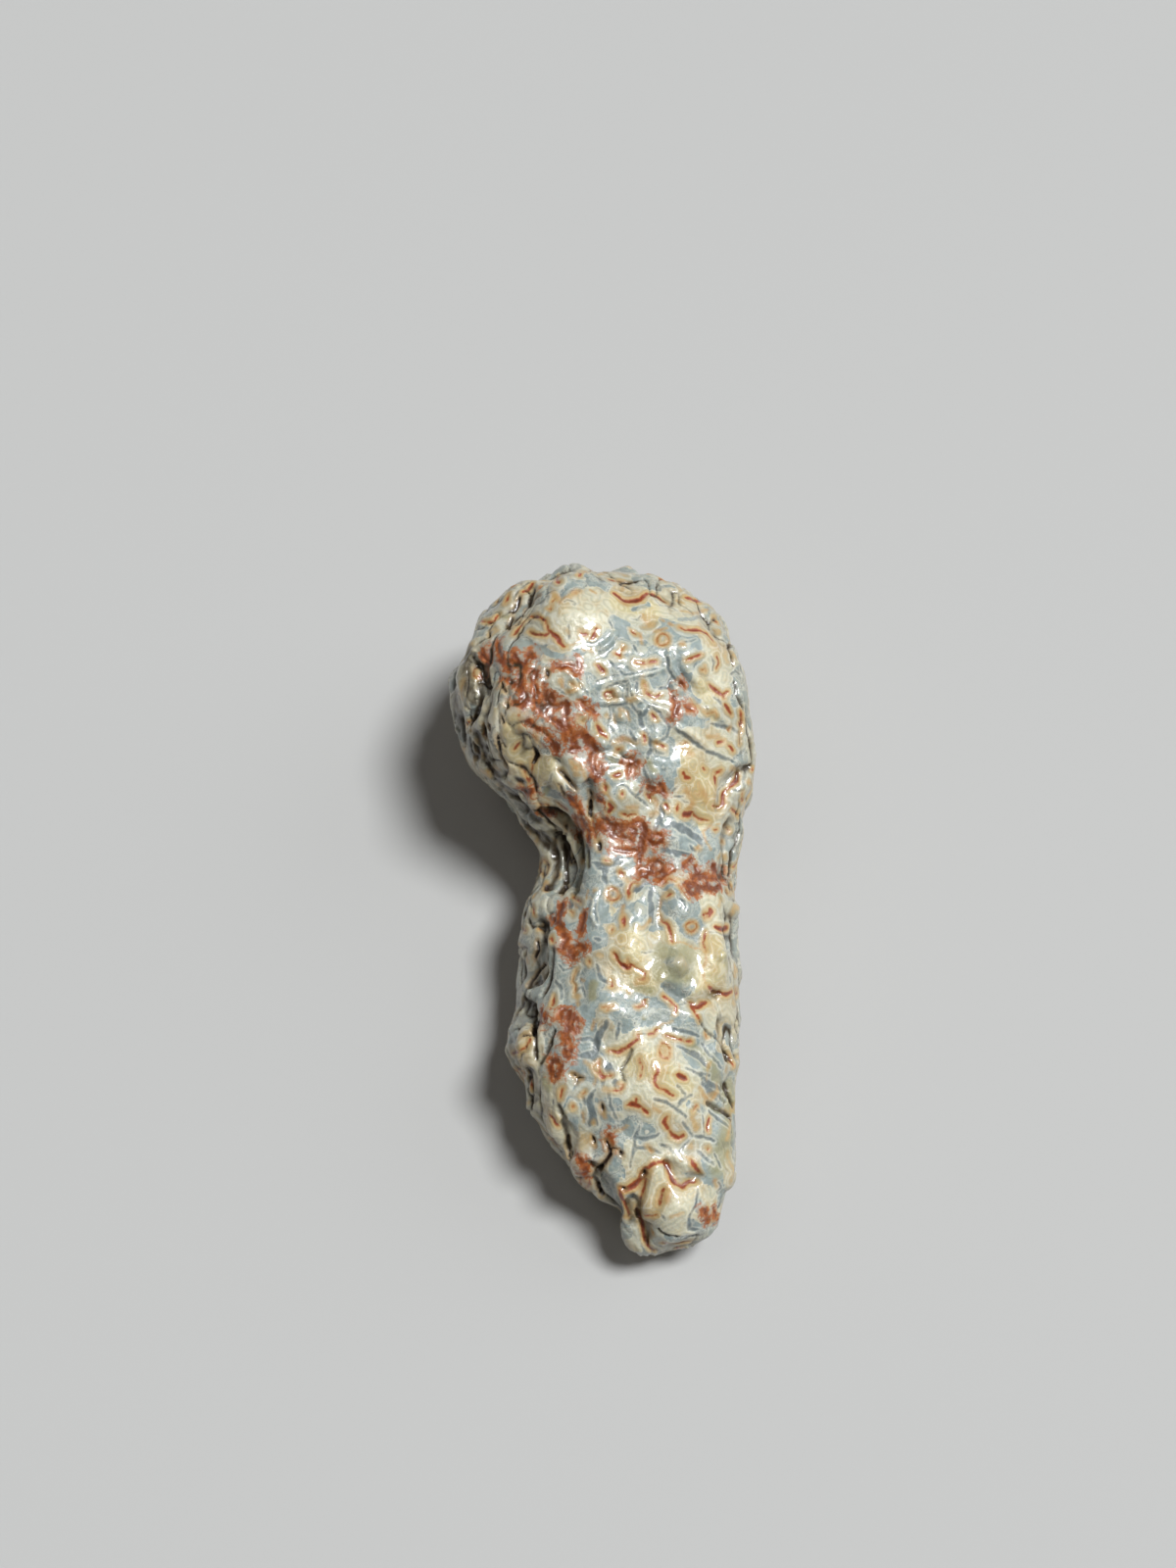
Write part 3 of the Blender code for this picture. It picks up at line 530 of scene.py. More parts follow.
# Slate needles in the grey, after a few broad veins.
SLATE_LINES = (
    (2.4, ((712, 1096), (724, 1106), (736, 1112))), (2.2, ((716, 1106), (728, 1116), (742, 1124))),
    (2.0, ((722, 1134), (734, 1142), (744, 1152))), (2.0, ((697, 1070), (710, 1078), (724, 1090))),
    (2.8, ((587, 1077), (607, 1077), (617, 1087), (625, 1097), (632, 1114))),
    (3.0, ((607, 1077), (610, 1060), (620, 1042))), (2.0, ((614, 1087), (615, 1110))),
    (2.4, ((606, 1112), (600, 1126), (604, 1136), (602, 1150))), (1.6, ((594, 1118), (598, 1128))),
    (2.0, ((604, 880), (617, 883), (638, 873))), (3.0, ((616, 883), (617, 899))),
    (4.0, ((646, 910), (656, 902), (668, 895))), (3.0, ((663, 907), (665, 941))),
    (2.5, ((625, 908), (620, 920))), (3.0, ((586, 912), (582, 930))),
    (3.5, ((675, 849), (683, 841), (699, 846), (715, 857))), (3.0, ((678, 820), (673, 836), (667, 851))),
    (3.0, ((675, 865), (688, 870), (704, 873))), (1.3, ((619, 673), (628, 680), (636, 688))),
    (1.0, ((609, 695), (622, 691), (640, 688), (656, 685), (673, 682))),
    (0.9, ((618, 702), (630, 697), (641, 694))), (0.9, ((650, 691), (660, 690), (672, 687))),
    (1.3, ((640, 703), (640, 711), (645, 719), (651, 728))), (1.3, ((650, 697), (649, 712))),
    (1.0, ((588, 692), (594, 703), (600, 711))), (0.9, ((622, 719), (634, 719), (641, 717))),
    (1.2, ((621, 721), (624, 729), (619, 738))), (1.2, ((627, 708), (622, 714))),
    (1.1, ((654, 713), (661, 718), (672, 720))), (2.0, ((652, 726), (654, 738), (661, 750), (664, 764))),
    (1.6, ((664, 764), (660, 774))), (1.8, ((662, 722), (655, 732))),
    (1.6, ((664, 721), (673, 727), (679, 735), (684, 743))),
    (1.6, ((684, 743), (680, 752), (672, 758), (664, 757))), (1.0, ((668, 762), (670, 768), (677, 769))),
    (1.6, ((672, 702), (681, 702), (684, 692))), (1.6, ((681, 671), (682, 683), (689, 695))),
    (1.8, ((684, 699), (686, 712))), (1.9, ((688, 743), (697, 749), (706, 757), (718, 765))),
    (1.7, ((718, 766), (728, 769), (740, 774), (750, 777))), (1.6, ((642, 744), (648, 756))),
    (1.0, ((626, 752), (621, 758))), (1.2, ((619, 740), (627, 746))),
    (1.1, ((617, 769), (624, 772), (631, 775))), (1.2, ((615, 776), (618, 783), (629, 784))),
    (1.6, ((655, 779), (658, 790), (664, 798))), (1.1, ((566, 702), (578, 709))),
    (1.1, ((646, 658), (651, 668))), (1.1, ((690, 658), (700, 655), (710, 652))),
    (1.0, ((725, 669), (728, 677), (727, 684))), (1.0, ((745, 689), (750, 684), (756, 688))),
    (1.0, ((727, 711), (734, 716), (738, 722))), (1.9, ((725, 739), (738, 741), (748, 744), (756, 749))),
    (1.0, ((668, 612), (673, 618), (682, 619), (692, 624))), (1.2, ((653, 614), (660, 608))),
    (1.0, ((580, 638), (581, 652))), (0.8, ((757, 783), (748, 790), (740, 800))),
    (0.8, ((740, 800), (732, 807), (732, 819))), (1.2, ((744, 806), (752, 807), (759, 806))),
    (1.4, ((761, 785), (758, 798), (759, 805))), (1.0, ((564, 790), (562, 798), (556, 800))),
    (1.3, ((631, 800), (638, 802), (643, 808), (648, 813))), (1.5, ((648, 813), (655, 817), (660, 822))),
    (1.6, ((648, 813), (654, 807), (659, 798))), (0.9, ((684, 809), (693, 801))),
    (1.2, ((688, 813), (698, 813))), (1.0, ((693, 815), (702, 818))),
    (1.8, ((680, 812), (674, 826), (674, 840), (678, 846))), (1.5, ((660, 843), (662, 836), (667, 831))),
    (2.4, ((682, 840), (691, 845), (700, 851))), (2.2, ((700, 851), (710, 855), (716, 862))),
    (1.3, ((681, 855), (691, 855))), (2.0, ((675, 869), (684, 867))), (1.8, ((688, 872), (693, 875))),
    (1.8, ((704, 863), (710, 868))), (1.5, ((606, 882), (614, 887), (624, 883))),
    (1.3, ((624, 883), (636, 880), (644, 874))), (1.3, ((618, 880), (626, 876), (633, 872))),
    (2.1, ((615, 888), (618, 896), (620, 904))), (1.1, ((623, 891), (640, 886))),
    (2.0, ((646, 886), (650, 896))), (1.8, ((649, 912), (654, 903), (663, 901))),
    (1.8, ((666, 903), (664, 920), (662, 942))), (1.6, ((621, 903), (626, 907), (636, 902))),
    (1.6, ((633, 908), (634, 920))), (1.2, ((690, 914), (697, 921), (700, 929))),
    (1.8, ((742, 892), (747, 900), (752, 903))), (1.2, ((750, 922), (754, 930), (755, 937))),
    (1.1, ((723, 951), (730, 951), (737, 955), (743, 949))), (1.3, ((748, 955), (755, 960))),
    (1.2, ((608, 917), (607, 931), (611, 942))), (1.0, ((570, 985), (575, 990), (588, 986))),
    (1.5, ((566, 1000), (573, 1009), (573, 1020))), (1.1, ((582, 997), (583, 1004))),
    (1.3, ((591, 991), (588, 1001))), (1.3, ((585, 1013), (594, 1007), (597, 1017))),
    (1.8, ((609, 984), (613, 998), (624, 1006))),
    (1.8, ((588, 1062), (600, 1060), (608, 1063), (606, 1073))), (1.7, ((606, 1073), (592, 1077))),
    (2.2, ((603, 1080), (613, 1085), (621, 1085))), (2.2, ((621, 1085), (627, 1099))),
    (1.3, ((622, 1101), (628, 1108), (633, 1116))), (1.4, ((614, 1090), (616, 1101), (615, 1113))),
    (1.3, ((622, 1115), (624, 1130), (630, 1144))),
    (1.7, ((608, 1111), (602, 1122), (606, 1135), (610, 1148))),
    (1.6, ((618, 1045), (610, 1055), (606, 1066))), (1.8, ((632, 1044), (629, 1060))),
    (1.2, ((552, 1137), (558, 1140))), (1.0, ((571, 1169), (566, 1183))), (1.3, ((608, 1179), (603, 1188))),
    (1.9, ((680, 1050), (700, 1052), (713, 1057))), (1.6, ((691, 1068), (708, 1073), (718, 1080))),
    (1.6, ((699, 1089), (712, 1096), (724, 1097))), (1.3, ((716, 1064), (724, 1077), (736, 1090))),
    (1.7, ((667, 1121), (680, 1125), (690, 1131), (700, 1139))),
    (1.3, ((691, 1107), (697, 1115), (701, 1120))), (1.7, ((706, 1117), (697, 1122), (690, 1130))),
    (1.5, ((696, 1144), (702, 1152), (708, 1160))), (1.6, ((708, 1160), (717, 1160), (729, 1164))),
    (1.1, ((708, 1160), (698, 1168), (691, 1177))), (1.6, ((647, 1160), (660, 1162), (673, 1156))),
    (1.6, ((648, 1172), (660, 1170), (674, 1176))), (1.2, ((673, 1167), (682, 1171), (689, 1179))),
    (1.3, ((654, 1146), (648, 1160), (646, 1178), (643, 1191))),
    (1.5, ((711, 1174), (720, 1182), (728, 1188))), (1.3, ((729, 1178), (735, 1191))),
    (1.4, ((715, 1103), (722, 1115), (731, 1123))), (1.7, ((706, 1129), (713, 1134))),
    (1.1, ((716, 1138), (719, 1157))), (1.5, ((712, 1214), (709, 1230), (703, 1241))),
    (1.9, ((703, 1241), (703, 1254), (713, 1254))), (1.2, ((676, 1240), (679, 1244))),
    (1.1, ((650, 1056), (662, 1055))), (0.9, ((692, 1026), (701, 1023))),
)
# Where clear grey stone shows between the islands, the widest fields first.
GREY_FIELDS = (
    (16, ((604, 876), (640, 888), (668, 900))), (26, ((704, 1064), (734, 1100), (738, 1150), (728, 1188))),
    (15, ((570, 965), (580, 1020), (600, 1080))), (16, ((602, 892), (614, 915), (606, 950))),
    (14, ((626, 896), (640, 930))), (13, ((662, 905), (664, 934))), (15, ((706, 918), (710, 944))),
    (17, ((612, 722), (646, 742), (662, 780))), (14, ((612, 765), (620, 792))),
    (14, ((690, 640), (700, 664))), (15, ((690, 848), (724, 862), (748, 856))),
    (5.0, ((494, 644), (506, 650), (500, 656))), (3.2, ((600, 660), (586, 668), (574, 673))),
    (2.6, ((574, 673), (562, 668), (552, 660), (541, 655))), (3.4, ((602, 659), (614, 656), (622, 647))),
    (5.5, ((628, 634), (638, 638))), (2.6, ((648, 622), (660, 618))), (5.0, ((666, 664), (676, 668))),
    (1.7, ((692, 632), (706, 632), (718, 629), (727, 633))), (1.5, ((727, 633), (735, 641), (738, 652))),
    (3.6, ((505, 690), (516, 687))), (3.0, ((520, 702), (524, 712))), (2.4, ((512, 712), (520, 714))),
    (2.4, ((598, 731), (600, 745))), (6.0, ((610, 724), (620, 730), (624, 740))),
    (6.0, ((640, 742), (652, 746))), (6.0, ((658, 734), (664, 752), (656, 768), (654, 788))),
    (3.0, ((684, 756), (686, 776), (683, 802))), (3.4, ((666, 760), (680, 756))),
    (4.5, ((612, 770), (615, 786))), (4.5, ((700, 735), (720, 738))),
    (3.0, ((681, 812), (678, 828), (684, 838))), (3.0, ((576, 816), (582, 828))),
    (2.6, ((593, 800), (596, 812))), (4.0, ((692, 850), (704, 862), (698, 870))),
    (3.6, ((686, 880), (700, 886), (710, 890))), (3.8, ((724, 850), (737, 857), (749, 853))),
    (3.0, ((728, 862), (746, 865))), (3.8, ((614, 896), (626, 912))), (4.5, ((652, 906), (664, 908))),
    (3.2, ((634, 902), (638, 916), (630, 922))), (4.6, ((710, 924), (716, 944))),
    (3.4, ((592, 898), (590, 912), (584, 922))), (3.2, ((572, 884), (572, 898))),
    (3.2, ((602, 922), (600, 938))), (3.8, ((610, 948), (614, 960))),
    (9.0, ((606, 1018), (650, 1028), (690, 1044))), (10.0, ((700, 1062), (722, 1088), (732, 1112))),
    (9.0, ((574, 990), (588, 1012), (600, 1044), (606, 1092))),
    (6.0, ((572, 990), (584, 1000), (590, 1012), (578, 1020))), (5.0, ((600, 990), (612, 1002))),
    (5.0, ((596, 1040), (592, 1062))), (4.5, ((600, 1066), (612, 1082), (622, 1092))),
    (4.0, ((630, 1018), (652, 1020), (676, 1024))), (3.6, ((624, 1032), (632, 1046))),
    (3.8, ((686, 1048), (704, 1050), (716, 1062))), (5.5, ((706, 1066), (722, 1080), (734, 1098))),
    (5.5, ((728, 1098), (738, 1110), (736, 1124))), (4.0, ((726, 1118), (718, 1106))),
    (3.6, ((742, 1050), (748, 1070))), (3.2, ((600, 1116), (604, 1136))), (3.6, ((584, 1140), (590, 1152))),
    (3.6, ((736, 1160), (742, 1172))), (3.2, ((654, 1162), (664, 1172))), (3.0, ((704, 1128), (716, 1132))),
    (3.0, ((722, 1176), (734, 1184))), (5.0, ((712, 1228), (722, 1244))), (3.0, ((704, 1246), (714, 1254))),
    (4.0, ((552, 930), (554, 946))), (3.0, ((556, 966), (558, 982))), (3.6, ((556, 1092), (558, 1100))),
    (3.4, ((640, 1222), (652, 1222))), (3.0, ((546, 800), (532, 796))), (3.4, ((558, 806), (568, 812))),
    (2.6, ((540, 1130), (550, 1146))), (3.2, ((520, 870), (534, 900))), (3.0, ((524, 1005), (522, 1020))),
    (3.4, ((508, 700), (506, 716))),
)
# Where the cream runs on with hardly any grey between its islands.
CREAM_FIELDS = (
    (24, ((520, 705), (530, 760), (562, 800), (584, 850))), (12, ((520, 930), (524, 1000))),
    (20, ((530, 1060), (560, 1130), (600, 1190))), (26, ((590, 628), (650, 612), (705, 625), (728, 690))),
    (34, ((722, 770), (712, 822))), (30, ((712, 920), (728, 1000))), (30, ((650, 935), (645, 990))),
    (34, ((650, 1085), (690, 1112))), (36, ((668, 1200), (702, 1228))), (30, ((515, 725), (548, 800))),
    (24, ((730, 1010), (738, 1050))),
)
# Where it is yellower, like butter.
BUTTER_FIELDS = (
    (12, ((640, 936), (648, 996), (668, 1004))), (10, ((668, 950), (716, 956), (720, 1000), (690, 1008))),
    (14, ((728, 965), (732, 1000))), (12, ((650, 1086), (676, 1090), (694, 1112))),
    (14, ((700, 776), (722, 812), (708, 836))), (12, ((515, 715), (532, 770), (560, 800))),
    (9, ((568, 750), (556, 790))), (9, ((628, 616), (664, 620), (668, 650))),
    (10, ((716, 700), (728, 735))), (9, ((600, 730), (604, 748))),
)
# Pools where the clear stone is olive. The two broad ones along the lower right edge are partly painted
# shade.
OLIVE_AND_EDGE_SHADE_POOLS = (
    (10.0, ((676, 972), (704, 974))), (10.0, ((674, 992), (702, 996))), (5.0, ((606, 1004), (604, 1018))),
    (3.0, ((640, 1008), (664, 1012))), (3.0, ((733, 910), (734, 916))), (2.0, ((655, 1037), (656, 1040))),
    (5.0, ((556, 1102), (560, 1110))), (4.0, ((507, 698), (506, 704))), (4.0, ((737, 976), (742, 988))),
    (3.6, ((660, 776), (668, 786))), (2.6, ((622, 772), (628, 778))), (2.6, ((514, 628), (518, 630))),
    (3.0, ((557, 898), (558, 908))), (2.6, ((598, 872), (600, 882))), (3.0, ((732, 1110), (742, 1128))),
    (4.0, ((728, 1130), (744, 1140))), (2.4, ((574, 784), (582, 800))),
    # Along the lower right edge: olive stone darkened further as painted shade.
    (8.0, ((704, 1066), (724, 1086), (738, 1116))), (11.0, ((745, 1112), (743, 1150), (731, 1190))),
    (3.0, ((560, 802), (556, 808))),
)
# Ridges and beads that stand up and catch the light. A bead is a half width and a centre.
GLEAMING_RIDGES = (
    (6.0, ((700, 682), (714, 700))), (4.0, ((722, 722), (742, 738))), (5.0, ((722, 612), (736, 630))),
    (7.5, ((668, 1191), (667, 1206), (664, 1224), (661, 1239))),
    (3.2, ((577, 684), (585, 694), (592, 709), (605, 715), (618, 717), (634, 716))),
    (3.0, ((612, 699), (630, 694), (645, 690), (660, 688), (677, 682))),
    (3.4, ((683, 668), (686, 682), (693, 692), (700, 700))), (2.4, ((642, 692), (644, 704), (640, 714))),
    (3.2, ((648, 712), (664, 720), (680, 724), (686, 732))),
    (3.6, ((690, 742), (702, 747), (715, 757), (726, 766))),
    (2.4, ((609, 911), (605, 922), (604, 935), (608, 944))),
    (2.8, ((683, 905), (695, 913), (702, 925), (698, 934))), (2.4, ((618, 770), (634, 776), (645, 778))),
    (3.4, ((612, 663), (622, 656), (628, 646))),
    (3.6, ((492, 700), (495, 726), (489, 742), (494, 762), (506, 784))),
    (2.6, ((614, 1070), (612, 1058), (622, 1040))),
)
BEADS = (
    (8, (615, 759)), (7, (640, 767)), (5, (645, 778)), (7, (666, 791)), (4, (597, 731)), (5, (634, 732)),
    (5, (669, 753)), (6, (656, 725)), (5, (623, 797)), (4, (648, 753)), (5, (630, 706)), (6, (644, 706)),
    (7, (690, 703)), (10, (691, 984)), (6, (598, 705)), (4, (550, 1018)), (6, (736, 975)), (5, (584, 704)),
)

# The eye that took the photograph: how far off it was, the spot it looked at, and the height of the strip
# that the photograph holds at that spot.
EYE_DISTANCE = 155.0
LOOKED_AT = np.array([-1.93, 1.6, 6.15])
SEEN_HEIGHT = 80.0
EYE = LOOKED_AT - (0, EYE_DISTANCE, 0)
PHOTO_WIDTH, PHOTO_HEIGHT = 1200, 1600
PIXELS_PER_UNIT = PHOTO_HEIGHT * EYE_DISTANCE / SEEN_HEIGHT
PIXELS_PER_MILLIMETRE = PIXELS_PER_UNIT / EYE_DISTANCE

# Lines on the skin are rows of points this far apart.
TRACE_STEP = 0.06

triangulated = bmesh.new()
triangulated.from_mesh(skin)
surface = BVHTree.FromBMesh(triangulated)
triangulated.free()


def on_skin(pixel):
    """The point of the skin that shows at a pixel of the photograph."""
    right = (pixel[0] - PHOTO_WIDTH / 2) / PIXELS_PER_UNIT
    up = (PHOTO_HEIGHT / 2 - pixel[1]) / PIXELS_PER_UNIT
    return surface.ray_cast(Vector(EYE), Vector((right, 1, up)).normalized())[0]


def traced(pixel_line):
    """Points at even steps on the skin along a line of photograph pixels."""
    corners = [c for c in (on_skin(p) for p in pixel_line) if c is not None]
    points = []
    for a, b in zip(corners, corners[1:]):
        steps = max(1, round((b - a).length / TRACE_STEP))
        points += [surface.find_nearest(a.lerp(b, i / steps))[0] for i in range(steps)]
    return points + corners[-1:]


def traced_marks(table):
    """The marks of a table, each a single branch on the skin, and their half widths in millimetres."""
    return [[traced(line)] for _, line in table], [width / PIXELS_PER_MILLIMETRE for width, _ in table]


def rings(table):
    """A table of rings as a table of lines."""
    turns = np.linspace(0, 2 * math.pi, 13)
    return tuple(
        (half_width, [(x + across * math.cos(t), y + down * math.sin(t)) for t in turns])
        for half_width, (x, y), (across, down) in table
    )


class Ground:
    """The skin's ground as it is taken up by marks, which keep a clearance from each other."""

    def __init__(self, clearance, marks):
        self.clearance, self.taken = clearance, {}
        for branches in marks:
            self.take(branches[0])

    def cell(self, point):
        return tuple(math.floor(c / self.clearance) for c in point)

    def take(self, points):
        for point in points:
            self.taken.setdefault(self.cell(point), []).append(point)

    def is_free(self, point):
        x, y, z = self.cell(point)
        for i, j, k in np.ndindex(3, 3, 3):
            for other in self.taken.get((x + i - 1, y + j - 1, z + k - 1), ()):
                if (other - point).length < self.clearance:
                    return False
        return True


def along_skin(way, normal):
    """A direction laid along the skin."""
    return (way - normal * way.dot(normal)).normalized()


def wandering(draw, ground, start, heading, length, crookedness):
    """A crooked line over the skin from a point, which turns now and then and stops at taken ground."""
    turn_chance, tremor = 0.2, 0.08
    point, line = Vector(start), []
    for _ in range(max(3, round(length / TRACE_STEP))):
        place, normal = surface.find_nearest(point)[:2]
        if not ground.is_free(place):
            break
        line.append(place)
        turn = draw.normal(0, crookedness) if draw.random() < turn_chance else draw.normal(0, tremor)
        heading = along_skin(Matrix.Rotation(turn, 3, normal) @ heading, normal)
        point = place + heading * TRACE_STEP
    return line


def strewn(draw, ground, tries, lengths, half_widths, crookedness, forked=0.0):
    """Crooked lines from random points of free ground, each a list of branches, and their half widths.

    On the flanks they are longer and follow the folds. The lengths are given as square roots.
    """
    flow, flank_order, flank_stretch = Vector((0.15, 0.0, 1.0)), 0.75, 1.3
    marks = []
    for index in draw.choice(len(skin_points), tries, replace=False):
        start = Vector(skin_points[index])
        if not ground.is_free(start):
            continue
        normal = Vector(skin_normals[index])
        loose = 1 - flank_order * flank[index]
        turn = Matrix.Rotation(draw.uniform(-0.5, 0.5) * math.pi * loose, 3, normal)
        heading = turn @ along_skin(flow, normal)
        length = draw.uniform(*lengths) ** 2 * (1 + flank_stretch * flank[index])
        ends = [wandering(draw, ground, start, way, length / 2, crookedness) for way in (heading, -heading)]
        branches = [ends[1][::-1] + ends[0]]
        if draw.random() < forked:
            aside = Matrix.Rotation(draw.choice((-1, 1)) * draw.uniform(0.8, 1.5), 3, normal) @ heading
            branches.append(wandering(draw, ground, start, aside, length * 0.5, crookedness))
        branches = [line for line in branches if line]
        for line in branches:
            ground.take(line)
        marks.append(branches)
    return marks, list(draw.uniform(*half_widths, len(marks)))


class Marks:
    """Branching lines on the skin that can be asked for the nearest. Their half widths fade to the ends."""

    def __init__(self, marks, half_widths):
        self.points, self.widths, self.owners = [], [], []
        for owner, (branches, half_width) in enumerate(zip(marks, half_widths)):
            for line in branches:
                shares = np.linspace(0, 1, len(line)) if len(line) > 2 else np.full(len(line), 0.5)
                self.points += line
                fading = 1 - np.sqrt(4 * shares * (1 - shares))
                self.widths += list(half_width - 0.5 * abs(half_width) * fading)
                self.owners += [owner] * len(line)
        self.widths = np.array(self.widths)
        self.tree = kdtree.KDTree(len(self.points))
        for i, point in enumerate(self.points):
            self.tree.insert(point, i)
        self.tree.balance()

    def nearest(self, points):
        """The nearest mark of each point, its distance, and its half width there."""
        index, distance = np.array([self.tree.find(p)[1:] for p in points.tolist()]).T
        index = index.astype(int)
        return np.array(self.owners)[index], distance, self.widths[index]

    def to_next(self, points, owners):
        """Distance of each point to the nearest mark that isn't its own, among its closest neighbours."""
        neighbours = 28
        distances = np.empty(len(points))
        for row, (point, own) in enumerate(zip(points.tolist(), owners)):
            found = self.tree.find_n(point, neighbours)
            distances[row] = next((d for _, i, d in found if self.owners[i] != own), found[-1][2])
        return distances


def soft_mask(table, points, wobble, softness):
    """1 inside the table's traced patches, 0 outside, with a wavering edge."""
    marks, half_widths = traced_marks(table)
    owner, distance, _ = Marks(marks, [0] * len(marks)).nearest(points)
    return 1 - step_up(1 - softness, 1 + softness, distance / np.array(half_widths)[owner] + wobble)


def gap_to(marks, half_widths, points):
    """Each point's nearest mark, and the distance to its edge, which is negative inside it."""
    owner, distance, half_width = Marks(marks, half_widths).nearest(points)
    return owner, distance - half_width


# Edges waver: patches by the swayed points, and fine lines by the shaken ones, which are moved less.
SWAY_WIDTH = 0.8
RIPPLE_WIDTH = 0.35
PATCH_SWAY = 0.11
PATCH_RIPPLE = 0.07
LINE_SWAY = 0.04
LINE_RIPPLE = 0.045
sway = np.stack([waves(skin_points / SWAY_WIDTH, seed) for seed in (31, 32, 33)], axis=1)
ripple = np.stack([waves(skin_points / RIPPLE_WIDTH, seed) for seed in (34, 35, 36)], axis=1)
swayed = skin_points + PATCH_SWAY * sway + PATCH_RIPPLE * ripple
shaken = skin_points + LINE_SWAY * sway + LINE_RIPPLE * ripple

# Patches of colour on the face. On the sides that the photograph doesn't show, grey lies in broad drifts, and
# stained folds are strewn.
DRIFT_WIDTH = 3.5
FINE_DRIFT_WIDTH = 1.6
PLAIN_GREY = 0.6
UNSEEN_FOLD_WIDTH = 1.3
unseen = 1 - step_up(-0.1, 0.3, -skin_normals[:, 1])
broad = waves(skin_points / DRIFT_WIDTH, seed=41) + 0.5 * waves(skin_points / FINE_DRIFT_WIDTH, seed=42)
cream = soft_mask(CREAM_FIELDS, swayed, 0.4 * sway[:, 2], 0.4)
seen_grey = PLAIN_GREY * (1 - cream) * (1 - unseen) * (1 + 0.6 * broad)
grey = np.maximum(seen_grey, unseen * step_up(0.1, 0.6, -broad))
grey = np.maximum(grey, soft_mask(GREY_FIELDS, swayed, 0.5 * sway[:, 0] - 0.45, 0.5))
butter = soft_mask(BUTTER_FIELDS, swayed, 0.4 * sway[:, 1], 0.5)
olive = soft_mask(OLIVE_AND_EDGE_SHADE_POOLS, swayed, 0.3 * sway[:, 2], 0.5)
amber = soft_mask(AMBER_STAINS, shaken, 0.3 * sway[:, 2], 0.8)
unseen_folds = unseen * step_up(0.2, 0.6, waves(skin_points / UNSEEN_FOLD_WIDTH, seed=45))
# Brown folds: the traced ones are partly painted shade, and the ones strewn on the unseen sides are stain.
fold_stain_and_shade = np.maximum(soft_mask(BROWN_AND_SHADED_FOLDS, shaken, 0.3 * sway[:, 1], 0.8), unseen_folds)

# Rust in ragged shreds and small rings. On the unseen sides it is strewn where they aren't grey.
draw = np.random.default_rng(seed=11)
traced_shreds, shred_widths = traced_marks(RUST_SHREDS + rings(RUST_RINGS))
traced_slits, slit_widths = traced_marks(DARK_SLITS)
small_shreds, small_widths = strewn(
    draw, Ground(clearance=0.55, marks=traced_shreds + traced_slits),
    tries=2500, lengths=(0.7, 1.5), half_widths=(0.02, 0.16), crookedness=0.8, forked=0.6,
)
shred_owner, rust_gap = gap_to(traced_shreds + small_shreds, shred_widths + small_widths, shaken)
rust_gap += (shred_owner >= len(traced_shreds)) * (1 - unseen * step_up(0.1, 0.5, broad))

# Hearts of the islands: the red creases, and smaller crooked ones grown between all that is traced.
# The traced ones reach further, and the brown rings have a tone too low for red. Many of the small ones on
# the face have no crease: their gap is raised past the crease's colours.
RED_TONE = 1
RING_TONE = 0.6
REACHES = (0.28, 0.6)
TRACED_REACH = 0.15
NO_CREASE = 0.3
CREASED_TONE = 0.55
traced_creases, crease_widths = traced_marks(RED_CREASES + rings(BROWN_RINGS))
traced_count = len(traced_creases)
small_hearts, small_widths = strewn(
    draw, Ground(clearance=0.58, marks=traced_creases + traced_shreds + traced_slits),
    tries=26000, lengths=(0.5, 1.7), half_widths=(-0.06, 0.06), crookedness=1.0, forked=0.45,
)
hearts = Marks(traced_creases + small_hearts, crease_widths + small_widths)
reaches = draw.uniform(*REACHES, traced_count + len(small_hearts))
tones = draw.uniform(0, 1, len(reaches))
tones[:len(RED_CREASES)] = RED_TONE
tones[len(RED_CREASES):traced_count] = RING_TONE
reaches[:traced_count] += TRACED_REACH
owner, distance, half_width = hearts.nearest(shaken + 0.04 * sway)
border = (hearts.to_next(swayed, owner) - distance) / 2
tone = tones[owner]
closed = NO_CREASE * (tone < CREASED_TONE + 0.25 * cream) * (1 - unseen) + 0.05 * sway[:, 0]
crease_gap = distance - half_width + (owner >= traced_count) * closed

# Each island ends at its reach, or where it meets the next one. In the grey fields clear channels part them,
# they are smaller, and those of a low tone are drowned.
ISLAND_RIM = 0.22
CHANNEL = -0.13
GREY_CHANNEL = 0.19
CHANNEL_WAVE = 1.1
CHANNEL_WAVER = 0.08
SPREAD = 2.4
GREY_SHRINKAGE = 1.5
DROWNED_TONE = 0.72
channel = CHANNEL + CHANNEL_WAVER * waves(skin_points / CHANNEL_WAVE, seed=43) + GREY_CHANNEL * grey
shore = 1 - (border - channel) / ISLAND_RIM
band = np.maximum(distance / (reaches[owner] * (SPREAD - GREY_SHRINKAGE * grey)), shore)
band += 1.2 * step_up(0.0, 0.12, DROWNED_TONE * grey - tone)

# Slate needles, then pits and slits. Small pits are only on the unseen sides.
traced_blades, blade_widths = traced_marks(SLATE_LINES)
small_blades, small_widths = strewn(
    draw, Ground(clearance=0.7, marks=traced_blades + traced_creases + traced_shreds),
    tries=1000, lengths=(0.6, 1.2), half_widths=(-0.02, 0.07), crookedness=0.9, forked=0.45,
)
blade_gap = gap_to(traced_blades + small_blades, blade_widths + small_widths, shaken)[1]

small_slits, small_widths = strewn(
    draw, Ground(clearance=1.8, marks=traced_slits),
    tries=1200, lengths=(0.3, 0.7), half_widths=(0.04, 0.12), crookedness=0.3,
)
slit_owner, slit_gap = gap_to(traced_slits + small_slits, slit_widths + small_widths, shaken)
slit_gap += 0.5 * (1 - unseen) * (slit_owner >= len(traced_slits))

